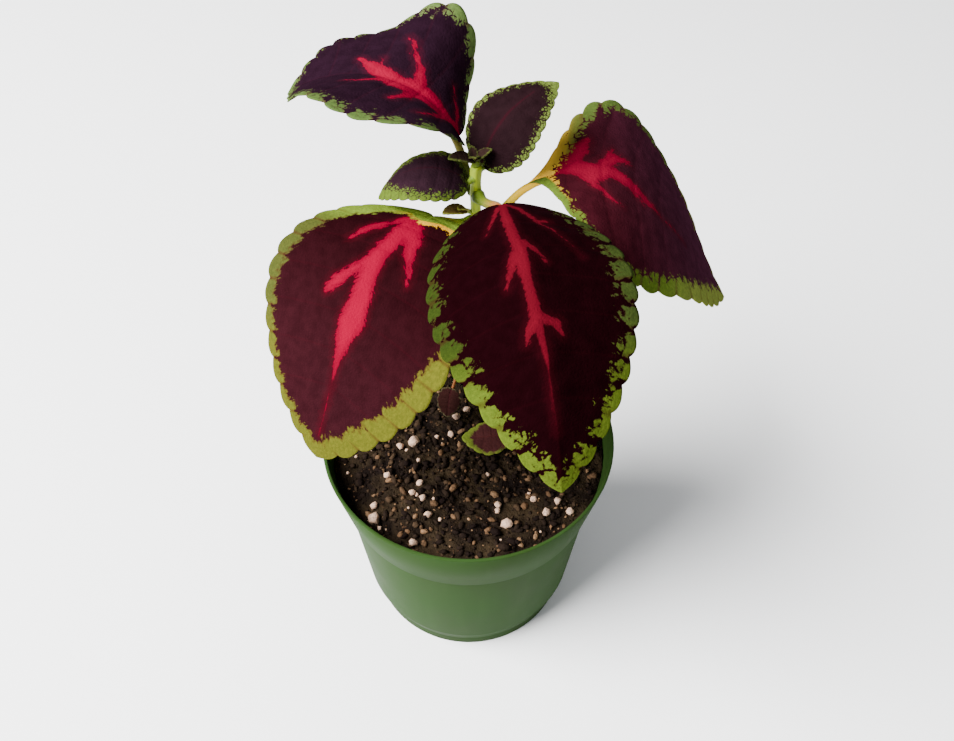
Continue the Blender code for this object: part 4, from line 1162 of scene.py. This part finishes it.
def make_soil():
    count = SOIL_SEGMENTS
    radius = inner_radius(SOIL_HEIGHT - 1) - SOIL_CLEARANCE
    points = [(0.0, 0.0, crumbled_level(0, 0))]
    for number in range(1, SOIL_RINGS + 1):
        for x, y, _ in ring(radius * number / SOIL_RINGS, SOIL_HEIGHT, count, 0.5 * (number % 2)):
            points.append((x, y, crumbled_level(x, y)))
    for height in (*INSIDE_HEIGHTS, FLOOR_THICKNESS + SOIL_CLEARANCE):
        points += ring(inner_radius(height) - SOIL_CLEARANCE, height, count)
    faces = [(0, 1 + i, 1 + (i + 1) % count) for i in range(count)]
    last = len(points) - count
    for low in range(1, last, count):
        faces += band(low, low + count, count, inward=True)
    faces.append([last + i for i in reversed(range(count))])
    add_mesh("soil_bed", points, faces, [plain_material("potting_soil")], ("soil",))


def add_grains(name, grains, look, detail, roughness):
    """Small irregular grains in one piece, each with a place, three radii and a tone."""
    draw = random.Random(SEED)
    ball = bmesh.new()
    bmesh.ops.create_icosphere(ball, subdivisions=detail, radius=1.0)
    ball_points = [v.co.copy() for v in ball.verts]
    ball_faces = [[v.index for v in face.verts] for face in ball.faces]
    ball.free()
    points, faces, tones = [], [], []
    for place, radii, tone in grains:
        turn = Matrix.Rotation(draw.uniform(0, GRAIN_TURN), 3, "Z")
        turn = turn @ Matrix.Rotation(draw.uniform(-GRAIN_TILT, GRAIN_TILT), 3, "X")
        shift = Vector([draw.uniform(0, GRAIN_SHIFT) for _ in range(3)])
        start = len(points)
        for p in ball_points:
            bulge = 1 + roughness * noise.noise(p * GRAIN_LUMPS + shift)
            scaled = Vector([p[k] * radii[k] * bulge for k in range(3)])
            points.append(Vector(place) + turn @ scaled)
        faces += [[start + v for v in face] for face in ball_faces]
        tones += [tone] * len(ball_points)
    add_mesh(name, [tuple(p) for p in points], faces, [look], (), dict(tone=tones))


def scatter(draw, count, smallest, largest, crowding):
    """Seeded places and radii of grains on the soil, more small than large."""
    stem_x, stem_y, _ = STEM_ROUTE[0]
    spots = []
    while len(spots) < count:
        radius = smallest + (largest - smallest) * draw.random() ** crowding
        reach = (inner_radius(SOIL_HEIGHT) - WALL_GAP - radius) * math.sqrt(draw.random())
        angle = draw.uniform(0, math.tau)
        x, y = reach * math.cos(angle), reach * math.sin(angle)
        if math.hypot(x - stem_x, y - stem_y) > radius + STEM_RADII[0] + STEM_GAP:
            spots.append((x, y, radius))
    return spots


def crumb_colour(s, _):
    """From near black to tan, by each crumb's own tone."""
    ramp = s.node("ValToRGB", Fac=s.field("tone"))
    stops = ramp.color_ramp.elements
    for position, _ in CRUMB_COLOURS[1:-1]:
        stops.new(position)
    for stop, (_, colour) in zip(stops, CRUMB_COLOURS):
        stop.color = linear(colour)
    return ramp.outputs[0]


def make_grains():
    draw = random.Random(SEED)
    crumbs = []
    for x, y, radius in scatter(draw, **CRUMBS):
        radii = [radius * draw.uniform(*span) for span in CRUMB_SHAPE]
        place = (x, y, crumbled_level(x, y) + CRUMB_LIFT * radii[2])
        crumbs.append((place, radii, draw.random() ** CRUMB_TONES))
    look = plain_material("bark_crumbs", paint=crumb_colour)
    add_grains("bark_crumbs", crumbs, look, detail=1, roughness=0.7)

    beads = []
    for x, y, radius in PERLITE:
        radii = [radius * share for share in BEAD_SHAPE]
        beads.append(((x, y, soil_level(x, y) + BEAD_LIFT * radius), radii, 1.0))
    for x, y, radius in scatter(draw, **SMALL_BEADS):
        beads.append(((x, y, crumbled_level(x, y) + SMALL_BEAD_LIFT * radius), (radius,) * 3, 1.0))
    look = plain_material("perlite")
    add_grains("perlite_beads", beads, look, detail=2, roughness=0.5)


def make_floor():
    mesh = bpy.data.meshes.new("floor")
    corners = [(-1, -1), (1, -1), (1, 1), (-1, 1)]
    points = [(x * FLOOR_REACH * MM, y * FLOOR_REACH * MM, FLOOR_HEIGHT * MM) for x, y in corners]
    mesh.from_pydata(points, [], [(0, 1, 2, 3)])
    mesh.materials.append(plain_material("pale_floor"))
    floor = add_object("floor", mesh)


def make_light():
    """A large soft light from the upper left, a weak one from above and an even sky."""
    world = bpy.data.worlds.new("sky")
    world.use_nodes = True
    sky = world.node_tree.nodes["Background"]
    sky.inputs["Color"].default_value = SKY_COLOUR
    sky.inputs["Strength"].default_value = SKY_STRENGTH
    bpy.context.scene.world = world
    for name, place, size, power in LAMPS:
        lamp = bpy.data.lights.new(name, "AREA")
        lamp.shape = "DISK"
        lamp.size = size * MM
        lamp.energy = power
        holder = add_object(name, lamp)
        holder.location = Vector(place) * MM
        aim = Vector(LAMP_AIM) * MM - holder.location
        holder.rotation_euler = aim.to_track_quat("-Z", "Y").to_euler()


def make_camera():
    camera = bpy.data.cameras.new("camera")
    camera.lens = CAMERA_LENS
    camera.sensor_width = CAMERA_SENSOR
    camera.sensor_fit = "HORIZONTAL"
    camera.clip_end = CAMERA_SIGHT * MM
    holder = add_object("camera", camera)
    tip = Matrix.Rotation(math.radians(90 - CAMERA_PITCH), 4, "X")
    turn = Matrix.Rotation(math.radians(CAMERA_ROLL), 4, "Z")
    holder.matrix_world = Matrix.Translation(Vector(CAMERA_PLACE) * MM) @ tip @ turn
    bpy.context.scene.camera = holder


def main():
    make_camera()
    make_floor()
    make_light()
    make_pot()
    make_soil()
    make_grains()
    down = plain_material("fine_down")
    make_stem(down)
    for seed, (name, leaf) in enumerate(LEAVES.items()):
        make_blade(name, leaf, seed, name)
        make_stalk(name, leaf, down)
    for name, shoot in SHOOTS.items():
        make_shoot(name, shoot, down)


main()
